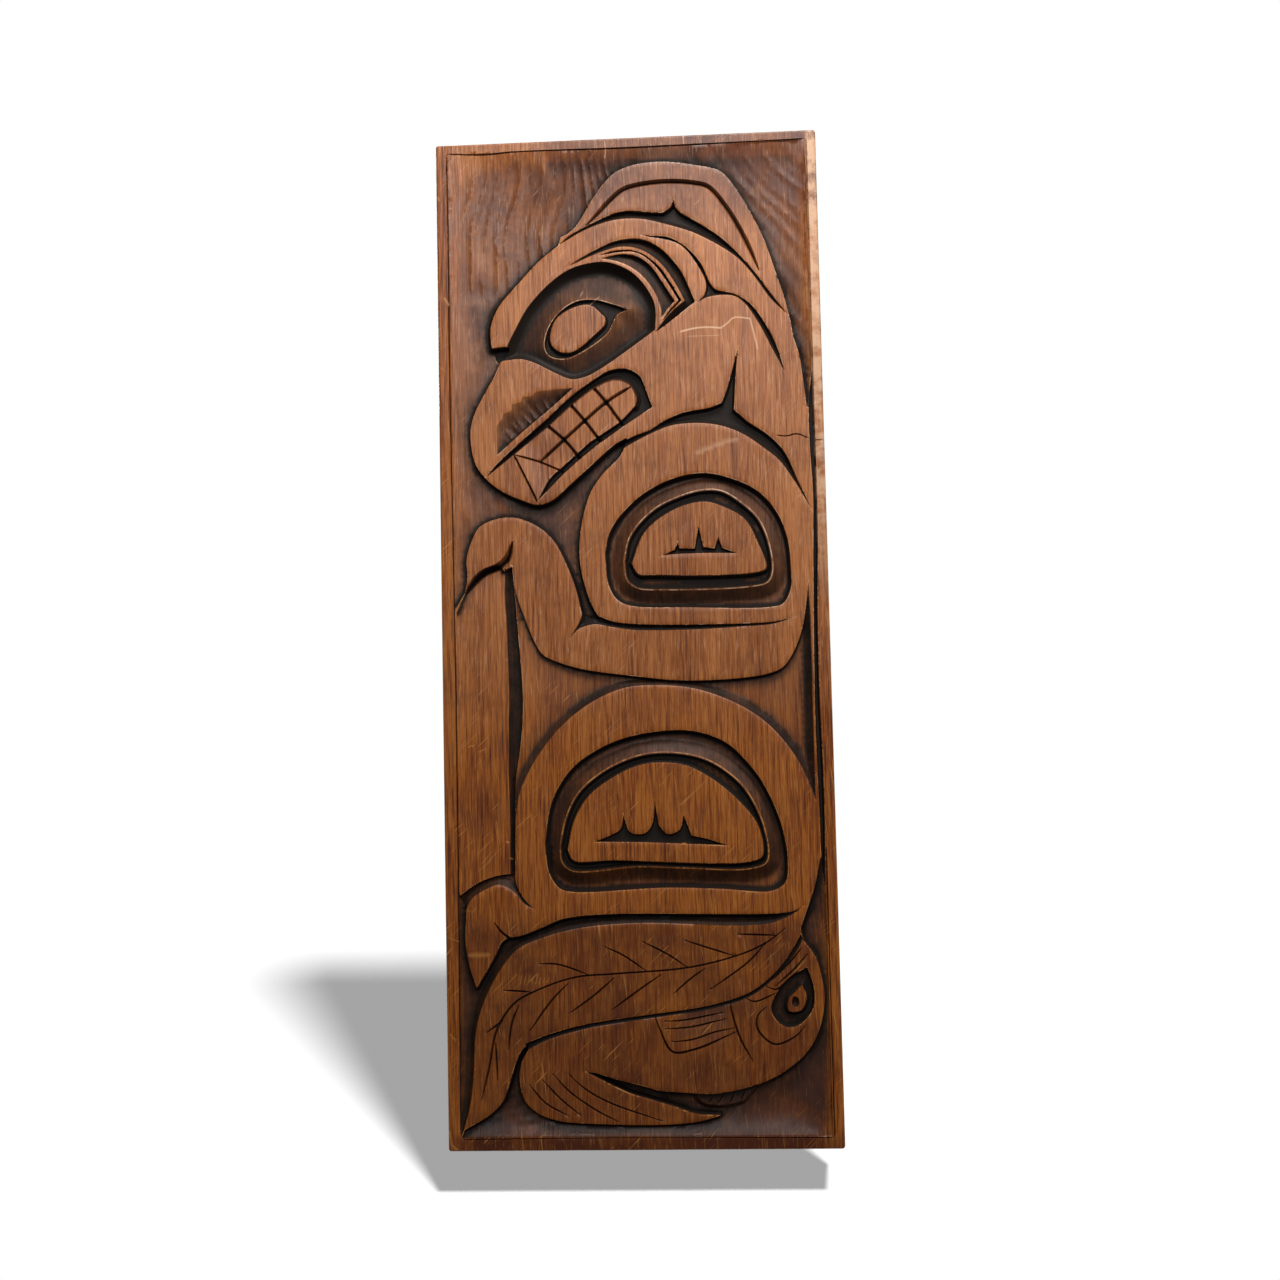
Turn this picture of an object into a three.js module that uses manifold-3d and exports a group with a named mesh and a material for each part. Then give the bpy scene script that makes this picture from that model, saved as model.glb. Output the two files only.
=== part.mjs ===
// Carved wooden wall panel: one upright plank with a bear and a salmon cut into its front.
// Millimetres, +Z up. The front faces -Y, and the origin is the centre of the flat back.

import * as THREE from "three";
import { mergeVertices } from "three/addons/utils/BufferGeometryUtils.js";
import Module from "manifold-3d";

const wasm = await Module();
wasm.setup();

// The plank
const PLANK_WIDTH = 290;
const PLANK_HEIGHT = 757;
const PLANK_THICKNESS = 38;
const CORNER_RADIUS = 3;

// The plain border left round the carved field
const BORDER_LEFT = 9;
const BORDER_RIGHT = 8;
const BORDER_TOP = 7.5;
const BORDER_BOTTOM = 9.5;

// How far each cut goes below the front
const GROUND_DEPTH = 9;
const GROUND_EDGE_DEPTH = 1.5;
const GROUND_SLOPE_WIDTH = 28;
const SLAB_DEPTH = 3;
const BELLY_DEPTH = 5;
const SIDE_GROOVE_DEPTH = 6;
const OVOID_DEPTH = 6.5;
const OVOID_RIM_DEPTH = 1.2;
const OVOID_RIM_WIDTH = 1.5;
const OVOID_GROOVE_DEPTH = 4.8;
const ISLAND_DEPTH = 0.4;
const WALL_DRAFT = 1.6;
const EYE_DEPTH = 8.5;
const EYELID_DEPTH = 2.2;
const EYE_GROOVE_DEPTH = 4.5;
const IRIS_DEPTH = 1.6;
const FISH_EYE_DEPTH = 4.5;
const FISH_IRIS_DEPTH = 1.2;
const NEST_DEPTH = 5;
const MOUTH_DEPTH = 5.5;
const TEETH_DEPTH = 1.8;
const SCOOP_DEPTH = 3.2;
const CHIP_DEPTH = 4;
const SLIT_DEPTH = 2.5;
const LINE_WIDTH = 1.8;
const LINE_DEPTH = 1.4;
const SPINE_WIDTH = 2.4;
const SPINE_DEPTH = 1.6;
const TOOTH_LINE_DEPTH = LINE_DEPTH + TEETH_DEPTH;
const GROOVE_WIDTH = 3;
const GROOVE_DEPTH = 3;
const FOLD_WIDTH = 3.5;
const FOLD_DEPTH = 3.5;
const LONG_GROOVE_WIDTH = 4;
const CLAW_GROOVE_WIDTH = 6;
const CLAW_GROOVE_DEPTH = 5;
const FIN_LINE_DEPTH = 2.5;
const NEST_LINE_WIDTH = 2.2;
const BORDER_LINE_WIDTH = 1.1;
const BORDER_LINE_DEPTH = 0.9;
const FIN_DEPTH = 3;

// How finely curves are cut, and how far a cutter stands out of the front
const CURVE_STEP = 9;
const RING_POINTS = 48;
const CORNER_SEGMENTS = 3;
const CLEARANCE = 2;
const TIP_WIDTH = 0.3;
const MERGE_DISTANCE = 1e-4;

// How far across a trough its deepest line lies
const MIDDLE = 0.5;
const NEST_LOW = 0.4;
const LID_LOW = 0.3;
const SCOOP_LOW = 0.9;

// The field inside the border, and the field that the outlines below are drawn on
const field = {
  left: BORDER_LEFT - PLANK_WIDTH / 2,
  right: PLANK_WIDTH / 2 - BORDER_RIGHT,
  top: PLANK_HEIGHT / 2 - BORDER_TOP,
  bottom: BORDER_BOTTOM - PLANK_HEIGHT / 2,
};
const drawn = { left: -136, right: 137, top: 371, bottom: -369 };

// An outline is a list of smooth stretches, each through the points given, which meet at corners.
const upperGround = [
  [[-136, 371], [137, 371]],
  [[137, 371], [137, 166]],
  [[132.6, 166], [130.5, 186], [124, 220], [122.5, 231]],
  [[122.5, 231], [113, 267], [104, 295.5], [92, 321.5], [77, 345], [71, 350.2], [60, 353.5], [30, 358.4],
    [-4, 353.5], [-12, 348], [-34, 317], [-50, 303]],
  [[-50, 297], [-84, 267], [-98, 251], [-104.5, 235], [-104, 219]],
  [[-93, 219]],
  [[-97, 209], [-110, 184], [-121, 157], [-117, 129.5], [-97, 109], [-71, 98.5], [-60, 101.5], [-28, 129],
    [-3, 147.3]],
  [[-3, 144], [-22, 119.5], [-32, 104], [-40, 65], [-38.5, 45], [-33, 25], [-25, 10.5]],
  [[-39.5, 15], [-50, 52], [-59, 70], [-78, 86], [-100, 89], [-121, 73], [-125.5, 55], [-127, 33]],
  [[-135, 20], [-136, 20]],
];
const slabRight = [[-93, -177], [-94, -165], [-94, -100], [-89.5, -40], [-91.5, 30], [-97, 49]];
const sideGrooveLeft = [[-94, -172], [-95, -100], [-90.6, -40], [-92.4, 30], [-97, 46]];
const sideGrooveRight = [[-92, -172], [-90.8, -140], [-84.6, -70], [-83.6, -45], [-87, 10], [-90, 50]];
const slab = [
  [[-136, 18], [-136, -193]],
  [[-134.5, -193], [-118, -182], [-105, -178], [-93, -177]],
  slabRight,
  [[-102, 53], [-114, 48.5], [-127, 31]],
];
const bellyLeft = [[-91.5, -140], [-90.5, -105], [-85.5, -70], [-84.5, -45], [-88, 10], [-90, 40]];
const belly = [
  [[-90, 40], [-82, 13], [-75, -5], [-69, -14.5], [-40, -26], [30, -36], [80, -35.3], [104, -31],
    [116.5, -19], [128, 19], [130, 36]],
  [[130, 36], [131, -128]],
  [[131, -128], [118, -96.5], [96, -69], [60, -48], [15, -39.7], [-8, -41], [-32, -50.5],
    [-73, -89], [-88, -118], [-91.5, -140]],
  bellyLeft,
];
const footGround = [
  [[-136, -200], [-130, -204]],
  [[-130, -204], [-130.3, -225], [-122.5, -260]],
  [[-122.5, -260], [-108, -236], [-98, -223.5]],
  [[-98, -223.5], [-88, -222], [-60, -211], [-20, -207.3], [100, -208.7], [120, -203.5]],
  [[120, -203.5], [98, -215.5], [65, -217.5], [0, -214.5], [-45, -217.5], [-91, -232], [-116, -268],
    [-123, -290], [-125.5, -325], [-133.5, -360]],
  [[-136, -364]],
];
const lowerGround = [
  [[-131, -363.5], [-104, -342], [-94, -314], [-85.5, -301.5]],
  [[-85, -306], [-91.5, -328], [-79, -351], [-45, -358.8], [15, -360.2], [55, -354]],
  [[55, -354], [38, -353], [0, -341], [-28, -329.5], [-42, -322]],
  [[-42, -322], [-20, -327.5], [10, -335.5], [50, -338.5], [93, -328], [118, -310.5], [132, -280],
    [131, -254], [119, -229]],
  [[117, -220], [128, -190], [132.5, -170]],
  [[137, -165], [137, -369]],
  [[137, -369], [-136, -369]],
];
const smallFin = [
  [[36, -337], [42, -344.5], [53, -347], [73, -343], [76, -339], [86, -333]],
  [[86, -330], [60, -332]],
];
const earCrescent = [
  [[-52, 296.5], [-31, 310.5], [-8, 320.3], [28, 319]],
  [[28, 319], [34, 323], [36.5, 328]],
  [[36.5, 328], [42, 318.5], [72, 298], [95, 272.5], [121, 236]],
  [[121, 236], [95, 271], [70, 294], [30, 312], [-10, 316], [-31, 309.5], [-52, 296.5]],
];
const cheekCut = [
  [[12, 302], [30, 300.5], [45, 292.5], [63, 263], [67, 258.3], [80, 254.9], [92, 247],
    [105, 228], [117, 193]],
  [[117, 193], [100, 231.5], [88, 248.5], [80, 253.6], [62, 253.4], [53, 249.5]],
  [[53, 249.5], [59, 263], [53, 278], [40, 294], [12, 302]],
];
const shoulderCut = [
  [[-6, 144.5], [15, 152.5], [40, 164.8], [69, 171.5]],
  [[69, 171.5], [76, 190.5], [82.7, 214]],
  [[82.7, 214], [78.2, 166]],
  [[78.2, 166], [104, 145], [118.5, 122.5], [135, 86]],
  [[135, 86], [116, 122.5], [84, 148], [52, 157], [16, 150.3], [-5, 139.5]],
];
const armCut = [
  [[-38.5, 17], [-42, 9], [-50, -4.5]],
  [[-50, -4.5], [-30, 8.5], [0, 2.3], [75, 2.5], [120, 9.5]],
  [[120, 9.5], [80, 4.8], [5, 6.2], [-27, 14]],
];
const shoulderSlit = [
  [[21, 57], [77, 57.6]],
  [[67, 62]],
  [[64, 70]],
  [[61, 61.5], [53, 63]],
  [[49.5, 78]],
  [[46, 62], [35, 62.5]],
  [[33.7, 66.5]],
  [[31, 61.5]],
];
const haunchSlit = [
  [[-34, -154.5], [66, -158.8]],
  [[39, -151]],
  [[33.2, -135.5]],
  [[30.5, -146], [20, -149], [15, -143]],
  [[12.3, -125]],
  [[9.5, -143], [-2, -149], [-8, -146]],
  [[-11.3, -135]],
  [[-13.5, -145]],
];
const nestOuter = [[-46, 279.5], [-28, 291], [-10, 299], [12, 299.8], [28, 289], [51, 250]];
const nestInner = [[-46, 279], [-20, 290], [10, 291.5], [22, 283], [46, 249.8]];
const lidOuter = [[-20, 286.2], [-4, 288], [6, 287], [14, 282], [35.5, 251.5]];
const lidInner = [[-20, 285.2], [-8, 283.4], [4, 278.6], [16, 265.5], [25, 245]];
const lipUpper = [[-110, 120.5], [-85, 146], [-38, 186], [-15, 199], [-2, 200], [8, 194], [17, 170]];
const teethUpper = [[-109, 119], [-88, 137.5], [-27, 186], [-12, 192], [-1, 189], [4, 172]];
const lipLower = [[-71, 101], [-26, 141.5], [17, 169]];
const teethLower = [[-72, 104], [-52, 127], [4, 172]];
const scoopTop = [[-101, 137], [-101, 163], [-80, 181], [-42, 186]];
const scoopLip = [[-101, 136], [-80, 154.5], [-58, 172], [-42, 185]];

// Closed rounds, each walked about its own middle
const eye = {
  middle: [-38, 232],
  socket: [[-97, 209], [-90, 226], [-76, 250], [-45, 277.5], [-15, 282.5], [8, 273], [20, 251], [20.5, 229],
    [-18, 202.5], [-38, 193.3], [-72, 207]],
  lid: [[0.5, 245.5], [-25, 254.5], [-40, 253.5], [-54, 244], [-64, 219], [-60, 212], [-48, 209.5],
    [-16, 228]],
  iris: [[-17.5, 238], [-32, 250.5], [-46, 246.5], [-58, 232], [-56, 217.5], [-47, 213.5], [-26, 227]],
};
const shoulder = {
  middle: [48, 62],
  well: [[-21, 60], [-19, 37], [-12.5, 25], [-2, 20.2], [40, 18], [100, 16.5], [111, 19], [117, 30],
    [115.5, 68], [95, 103.5], [56, 118.7], [8, 104], [-11, 86]],
  rim: [[-7, 54], [-5, 40], [3, 33.5], [40, 31.6], [85, 32.3], [100, 35.5], [104, 44], [94, 84], [68, 105],
    [40, 103.5], [16, 92.5]],
  island: [[-1, 52], [4, 43.8], [50, 41.8], [95, 43.5], [99, 46], [84, 83], [54, 97], [30, 91], [9, 75]],
};
const haunch = {
  middle: [15, -140],
  well: [[-70, -155], [-67.5, -176], [-60, -188], [-50, -191], [20, -189], [97, -192.5], [107, -186.5],
    [109.3, -172], [95, -118], [66, -83], [27, -73], [-18, -81], [-57, -110]],
  rim: [[-59, -157], [-57.5, -169], [-50, -175.5], [0, -173.3], [82, -176], [94, -171], [80, -118],
    [50, -94.5], [20, -89.3], [-30, -105], [-54, -136]],
  island: [[-53, -160], [-49, -167.8], [50, -171.5], [80, -171], [90.5, -167], [72, -124], [50, -106.5],
    [15, -97], [-22, -109.5], [-48, -139]],
};
const fishEye = {
  middle: [111, -272],
  socket: [[121, -248], [125.5, -265], [116, -288.5], [103, -290.5], [94, -277], [100, -264]],
  iris: [[117, -261], [120, -270], [115, -280], [107, -279.5], [108, -270]],
};

// Single cuts with a V section: the points along the cut, its width and its depth
const strokes = [
  [[[-27, 315], [-12, 329], [8, 340], [30, 341.5], [52, 339.5], [64, 335], [75, 320], [98, 272]],
    LONG_GROOVE_WIDTH, FOLD_DEPTH],
  [[[-26, 286.5], [10, 290.5], [20.5, 282.5], [42, 251]], NEST_LINE_WIDTH, GROOVE_DEPTH],
  [[[48, 248.5], [24, 231]], FOLD_WIDTH, GROOVE_DEPTH],
  [[[41, 251], [25, 238]], GROOVE_WIDTH, GROOVE_DEPTH],
  [[[-68, 132], [-43, 155], [-1, 188]], LINE_WIDTH, TOOTH_LINE_DEPTH],
  [[[-62, 159], [-39, 133.5]], LINE_WIDTH, TOOTH_LINE_DEPTH],
  [[[-44, 173], [-24, 147]], LINE_WIDTH, TOOTH_LINE_DEPTH],
  [[[-26, 185], [-7, 159]], LINE_WIDTH, TOOTH_LINE_DEPTH],
  [[[-86, 136.5], [-70, 132], [-50, 122.5]], SPINE_WIDTH, TOOTH_LINE_DEPTH],
  [[[-87, 136], [-79, 117], [-72, 102.5]], GROOVE_WIDTH, GROOVE_DEPTH],
  [[[-126, 31], [-114, 44], [-102, 50], [-95, 58], [-91, 69]], CLAW_GROOVE_WIDTH, SIDE_GROOVE_DEPTH],
  [[[135, 169], [136, 120], [135, 20], [134, -50], [135.5, -120], [134.5, -172]],
    LONG_GROOVE_WIDTH, SIDE_GROOVE_DEPTH],
  [[[-95, -174], [-85, -189], [-79, -202]], FOLD_WIDTH, CLAW_GROOVE_DEPTH],
  [[[-109, -213], [-96, -226]], GROOVE_WIDTH, GROOVE_DEPTH],
  [[[116, -226], [109, -240], [80, -266.5], [50, -276], [-40, -288.5], [-70, -296], [-86, -304]],
    FOLD_WIDTH, FOLD_DEPTH],
  [[[107, -219], [69, -239.5], [-20, -251.2], [-50, -253.5], [-95, -272], [-108, -291], [-120.5, -343]],
    SPINE_WIDTH, SPINE_DEPTH],
  [[[70, -223.5], [100, -224.8]], LINE_WIDTH, LINE_DEPTH],
  [[[31, -227], [69, -239.5]], LINE_WIDTH, LINE_DEPTH],
  [[[0, -227.5], [34, -247.5]], LINE_WIDTH, LINE_DEPTH],
  [[[-28, -231], [4, -249.8]], LINE_WIDTH, LINE_DEPTH],
  [[[-77, -243], [-38, -252]], LINE_WIDTH, LINE_DEPTH],
  [[[-103, -262], [-82, -263.5]], LINE_WIDTH, LINE_DEPTH],
  [[[-116, -293], [-103, -284]], LINE_WIDTH, LINE_DEPTH],
  [[[92, -229.5], [49, -264]], LINE_WIDTH, LINE_DEPTH],
  [[[47, -247.5], [22, -267]], LINE_WIDTH, LINE_DEPTH],
  [[[15, -251.5], [-23, -277.5]], LINE_WIDTH, LINE_DEPTH],
  [[[-20, -253.5], [-55, -280]], LINE_WIDTH, LINE_DEPTH],
  [[[-53, -256], [-84, -292.5]], LINE_WIDTH, LINE_DEPTH],
  [[[-91, -272], [-99.5, -306]], LINE_WIDTH, LINE_DEPTH],
  [[[-109, -299], [-108, -328]], LINE_WIDTH, LINE_DEPTH],
  [[[-85, -330], [-73, -344], [-55, -354]], LINE_WIDTH, LINE_DEPTH],
  [[[-75, -327], [-62, -341], [-46, -354]], LINE_WIDTH, LINE_DEPTH],
  [[[-68, -322], [-35, -350], [-16, -358]], LINE_WIDTH, LINE_DEPTH],
  [[[-57, -322], [-25, -344.5], [15, -358]], LINE_WIDTH, LINE_DEPTH],
  [[[65, -271], [71, -299], [80.5, -316.5]], LINE_WIDTH, LINE_DEPTH],
  [[[8.5, -281], [21, -308], [38, -306.5], [69.5, -293.5]], GROOVE_WIDTH, FIN_LINE_DEPTH],
  [[[15, -286], [60, -280]], LINE_WIDTH, LINE_DEPTH],
  [[[15, -291.5], [62, -284.5]], LINE_WIDTH, LINE_DEPTH],
  [[[20, -301], [68, -291]], LINE_WIDTH, LINE_DEPTH],
  [[[118, -233], [93, -259]], SPINE_WIDTH, LINE_DEPTH],
  [[[122, -238], [97, -262]], SPINE_WIDTH, LINE_DEPTH],
  [[[75, -269.5], [82, -272.5], [98, -266.5]], LINE_WIDTH, LINE_DEPTH],
  [[[92, -275], [84, -283], [84, -293], [96, -303.5], [119, -289.5]], SPINE_WIDTH, LINE_DEPTH],
];

// Turns a point of the drawing into a point of the plank's field.
function place([x, z]) {
  return new THREE.Vector2(
    THREE.MathUtils.mapLinear(x, drawn.left, drawn.right, field.left, field.right),
    THREE.MathUtils.mapLinear(z, drawn.bottom, drawn.top, field.bottom, field.top),
  );
}

// A point of the field at a depth below the front.
function sunk(point, depth) {
  return new THREE.Vector3(point.x, depth - PLANK_THICKNESS, point.y);
}

// Points at even steps along a smooth curve through the drawn points.
function curve(drawnPoints, count = 0, closed = false) {
  const through = drawnPoints.map(place);
  if (through.length < 2) return through;
  const path = new THREE.CatmullRomCurve3(through.map((p) => sunk(p, 0)), closed, "centripetal");
  const straight = through.length === 2 ? 1 : Math.ceil(path.getLength() / CURVE_STEP);
  const spaced = path.getSpacedPoints(count || Math.max(straight, through.length - 1));
  return spaced.map((p) => new THREE.Vector2(p.x, p.z));
}

// A closed outline from its stretches, without the points that repeat where two meet.
function outline(stretches) {
  const points = stretches.flatMap((stretch) => curve(stretch));
  return points.filter((p, k) => p.distanceTo(points[(k + 1) % points.length]) > TIP_WIDTH);
}

// The triangles that still have three different corners after the merge.
function wholeTriangles(index) {
  const kept = [];
  for (let k = 0; k < index.length; k += 3) {
    const [a, b, c] = index.slice(k, k + 3);
    if (a !== b && b !== c && c !== a) kept.push(a, b, c);
  }
  return new Uint32Array(kept);
}

// A geometry as a solid with its faces pointing out.
function solid(geometry) {
  geometry.deleteAttribute("normal");
  geometry.deleteAttribute("uv");
  const merged = mergeVertices(geometry, MERGE_DISTANCE);
  const vertProperties = new Float32Array(merged.attributes.position.array);
  const triVerts = wholeTriangles(merged.index.array);
  const made = new wasm.Manifold(new wasm.Mesh({ numProp: 3, vertProperties, triVerts }));
  if (made.volume() > 0) return made;
  return new wasm.Manifold(new wasm.Mesh({ numProp: 3, vertProperties, triVerts: triVerts.reverse() }));
}

// A solid through rings of as many points each, capped at its two ends.
function loft(rings) {
  const around = rings[0].length;
  const index = [];
  for (let ring = 0; ring < rings.length - 1; ring++) {
    const here = ring * around;
    const next = here + around;
    for (let k = 0; k < around; k++) {
      const l = (k + 1) % around;
      index.push(here + k, here + l, next + l, here + k, next + l, next + k);
    }
  }
  const end = (rings.length - 1) * around;
  for (let k = 1; k < around - 1; k++) {
    index.push(0, k + 1, k, end, end + k, end + k + 1);
  }
  const geometry = new THREE.BufferGeometry();
  const positions = rings.flat().flatMap((p) => [p.x, p.y, p.z]);
  geometry.setAttribute("position", new THREE.Float32BufferAttribute(positions, 3));
  geometry.setIndex(index);
  return solid(geometry);
}

// An upright-walled cutter over an outline, down to a depth below the front.
function well(stretches, depth) {
  return wellOver(outline(stretches), depth);
}

// The same over points already placed.
function wellOver(points, depth) {
  const options = { depth: depth + CLEARANCE, bevelEnabled: false };
  const geometry = new THREE.ExtrudeGeometry(new THREE.Shape(points), options);
  geometry.rotateX(Math.PI / 2);
  geometry.translate(0, depth - PLANK_THICKNESS, 0);
  return solid(geometry);
}

// A closed smooth outline, met by even rays from a middle point.
function round(drawnPoints, middle) {
  const edge = curve(drawnPoints, 4 * RING_POINTS, true);
  const centre = place(middle);
  const met = [];
  for (let k = 0; k < RING_POINTS; k++) {
    const angle = (2 * Math.PI * k) / RING_POINTS;
    const ray = new THREE.Vector2(Math.cos(angle), Math.sin(angle));
    let reach = 0;
    for (let e = 0; e < edge.length - 1; e++) {
      const from = edge[e].clone().sub(centre);
      const along = edge[e + 1].clone().sub(edge[e]);
      const turn = ray.cross(along);
      const share = ray.cross(from) / -turn;
      if (turn !== 0 && share >= 0 && share <= 1) reach = Math.max(reach, from.cross(along) / turn);
    }
    met.push(centre.clone().addScaledVector(ray, reach));
  }
  return met;
}

// A ring moved towards a middle by a width.
function drawnIn(ring, middle, width) {
  const centre = place(middle);
  return ring.map((p) => p.clone().add(centre.clone().sub(p).setLength(width)));
}

// The ring halfway between two rings.
function between(outer, inner) {
  return outer.map((p, k) => p.clone().lerp(inner[k], 0.5));
}

// A cutter through rings at their depths, from the outermost to the innermost, and flat inside the last.
function bowl(steps, middle) {
  const [outermost] = steps[0];
  const [, level] = steps.at(-1);
  const centre = outermost.map(() => place(middle));
  const rings = [[centre, -CLEARANCE], [outermost, -CLEARANCE], ...steps, [centre, level]];
  return loft(rings.map(([ring, depth]) => ring.map((p) => sunk(p, depth))));
}

// The dished ground: shallow along the border and level further in.
function dish() {
  const corners = (inset, depth) => [
    [field.left + inset, field.bottom + inset],
    [field.right - inset, field.bottom + inset],
    [field.right - inset, field.top - inset],
    [field.left + inset, field.top - inset],
  ].map(([x, z]) => sunk({ x, y: z }, depth));
  return loft([
    corners(0, -CLEARANCE),
    corners(0, GROUND_EDGE_DEPTH),
    corners(GROUND_SLOPE_WIDTH, GROUND_DEPTH),
  ]);
}

// A cutter between two edges of as many points, which start at the depth brim.
// Its deepest line lies a share of the way across.
function trough(edgeA, edgeB, depth, share, brim = 0) {
  const rings = edgeA.map((a, k) => {
    const b = edgeB[k];
    const low = a.clone().lerp(b, share);
    const fall = brim + Math.min(depth, a.distanceTo(b));
    return [sunk(a, -CLEARANCE), sunk(a, brim), sunk(low, fall), sunk(b, brim), sunk(b, -CLEARANCE)];
  });
  return loft(rings);
}

// A trough between two drawn edges.
function channel(drawnA, drawnB, depth, share, brim = 0) {
  const longest = Math.max(curve(drawnA).length, curve(drawnB).length);
  return trough(curve(drawnA, longest), curve(drawnB, longest), depth, share, brim);
}

// A V cut along drawn points, pointed at both ends.
function stroke(drawnPoints, width, depth) {
  const steps = Math.max(3, curve(drawnPoints).length);
  const spine = curve(drawnPoints, steps);
  const left = [];
  const right = [];
  spine.forEach((p, k) => {
    const before = spine[Math.max(k - 1, 0)];
    const after = spine[Math.min(k + 1, steps)];
    const along = after.clone().sub(before).normalize();
    const side = new THREE.Vector2(-along.y, along.x);
    const bulge = Math.sqrt(Math.abs(Math.sin((Math.PI * k) / steps)));
    const half = Math.max(TIP_WIDTH, width * bulge) / 2;
    left.push(p.clone().addScaledVector(side, half));
    right.push(p.clone().addScaledVector(side, -half));
  });
  return trough(left, right, depth, MIDDLE);
}

// The fine line scored round the field, as four straight cuts.
function borderLines() {
  const cornersOfField = [
    [drawn.left - BORDER_LINE_WIDTH, drawn.top + BORDER_LINE_WIDTH],
    [drawn.right + BORDER_LINE_WIDTH, drawn.top + BORDER_LINE_WIDTH],
    [drawn.right + BORDER_LINE_WIDTH, drawn.bottom - BORDER_LINE_WIDTH],
    [drawn.left - BORDER_LINE_WIDTH, drawn.bottom - BORDER_LINE_WIDTH],
  ];
  return cornersOfField.map((from, k) =>
    stroke([from, cornersOfField[(k + 1) % 4]], BORDER_LINE_WIDTH, BORDER_LINE_DEPTH));
}

// The two ovoid joints: a well that rises to a thin rim, a groove, and the island inside it.
function ovoid({ middle, well: wellPoints, rim: rimPoints, island: islandPoints }) {
  const outer = round(wellPoints, middle);
  const rim = round(rimPoints, middle);
  const island = round(islandPoints, middle);
  const rimInside = drawnIn(rim, middle, OVOID_RIM_WIDTH);
  const steps = [
    [outer, 0],
    [drawnIn(outer, middle, WALL_DRAFT), OVOID_DEPTH],
    [rim, OVOID_RIM_DEPTH],
    [rimInside, OVOID_RIM_DEPTH],
    [between(rimInside, island), OVOID_GROOVE_DEPTH],
    [island, ISLAND_DEPTH],
  ];
  return bowl(steps, middle);
}

// The bear's eye: a deep socket under the brow, a raised lid line, a groove and the iris.
function bearEye() {
  const socket = round(eye.socket, eye.middle);
  const lid = round(eye.lid, eye.middle);
  const iris = round(eye.iris, eye.middle);
  const steps = [
    [socket, 0],
    [drawnIn(socket, eye.middle, WALL_DRAFT), EYE_DEPTH],
    [lid, EYELID_DEPTH],
    [between(lid, iris), EYE_GROOVE_DEPTH],
    [iris, IRIS_DEPTH],
  ];
  return bowl(steps, eye.middle);
}

// The salmon's eye: a shallower socket round a small iris.
function salmonEye() {
  const socket = round(fishEye.socket, fishEye.middle);
  const iris = round(fishEye.iris, fishEye.middle);
  const steps = [
    [socket, 0],
    [drawnIn(socket, fishEye.middle, WALL_DRAFT), FISH_EYE_DEPTH],
    [iris, FISH_IRIS_DEPTH],
  ];
  return bowl(steps, fishEye.middle);
}

// The open ground round the figures, cut no deeper than the dish. The small fin is left standing in it.
function openGround() {
  const walls = [upperGround, footGround, lowerGround].map((stretches) => well(stretches, GROUND_DEPTH));
  const fin = well(smallFin, GROUND_DEPTH).subtract(well(smallFin, FIN_DEPTH));
  return wasm.Manifold.union(walls).intersect(dish()).subtract(fin);
}

// The outline that runs out along the middle of one band and back along the middle of another.
function midway(bandOut, bandBack) {
  const middles = [bandOut, bandBack].map(([outer, inner]) => {
    const steps = curve(outer).length;
    return between(curve(outer, steps), curve(inner, steps));
  });
  return [...middles[0], ...middles[1].reverse()];
}

// The mouth: two black bands round the row of teeth, with the scoop above the lip.
function mouth() {
  return [
    channel(lipUpper, teethUpper, MOUTH_DEPTH, MIDDLE),
    channel(lipLower, teethLower, MOUTH_DEPTH, MIDDLE),
    wellOver(midway([lipUpper, teethUpper], [lipLower, teethLower]), TEETH_DEPTH),
    channel(scoopTop, scoopLip, SCOOP_DEPTH, SCOOP_LOW),
  ];
}

// The arcs nested behind the eye.
function nestedArcs() {
  return [
    channel(nestOuter, nestInner, NEST_DEPTH, NEST_LOW),
    channel(lidOuter, lidInner, NEST_DEPTH, LID_LOW),
  ];
}

// The plank before it is carved, with its corners eased.
function plank() {
  const [w, h, r] = [PLANK_WIDTH / 2, PLANK_HEIGHT / 2, CORNER_RADIUS];
  const face = new THREE.Shape();
  face.absarc(w - r, h - r, r, 0, Math.PI / 2);
  face.absarc(r - w, h - r, r, Math.PI / 2, Math.PI);
  face.absarc(r - w, r - h, r, Math.PI, 1.5 * Math.PI);
  face.absarc(w - r, r - h, r, 1.5 * Math.PI, 2 * Math.PI);
  const options = { depth: PLANK_THICKNESS, bevelEnabled: false, curveSegments: CORNER_SEGMENTS };
  const geometry = new THREE.ExtrudeGeometry(face, options);
  geometry.rotateX(Math.PI / 2);
  return solid(geometry);
}

// All cuts together, taken out of the plank at once.
function carvedPanel() {
  const cuts = [
    openGround(),
    well(slab, SLAB_DEPTH),
    well(belly, BELLY_DEPTH),
    channel(sideGrooveLeft, sideGrooveRight, SIDE_GROOVE_DEPTH - SLAB_DEPTH, MIDDLE, SLAB_DEPTH),
    well(earCrescent, CHIP_DEPTH),
    well(cheekCut, SLIT_DEPTH),
    well(shoulderCut, CHIP_DEPTH),
    well(armCut, CHIP_DEPTH),
    well(shoulderSlit, SLIT_DEPTH),
    well(haunchSlit, SLIT_DEPTH),
    ovoid(shoulder),
    ovoid(haunch),
    salmonEye(),
    bearEye(),
    ...mouth(),
    ...nestedArcs(),
    ...borderLines(),
    ...strokes.map(([points, width, depth]) => stroke(points, width, depth)),
  ];
  return plank().subtract(wasm.Manifold.union(cuts));
}

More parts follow.
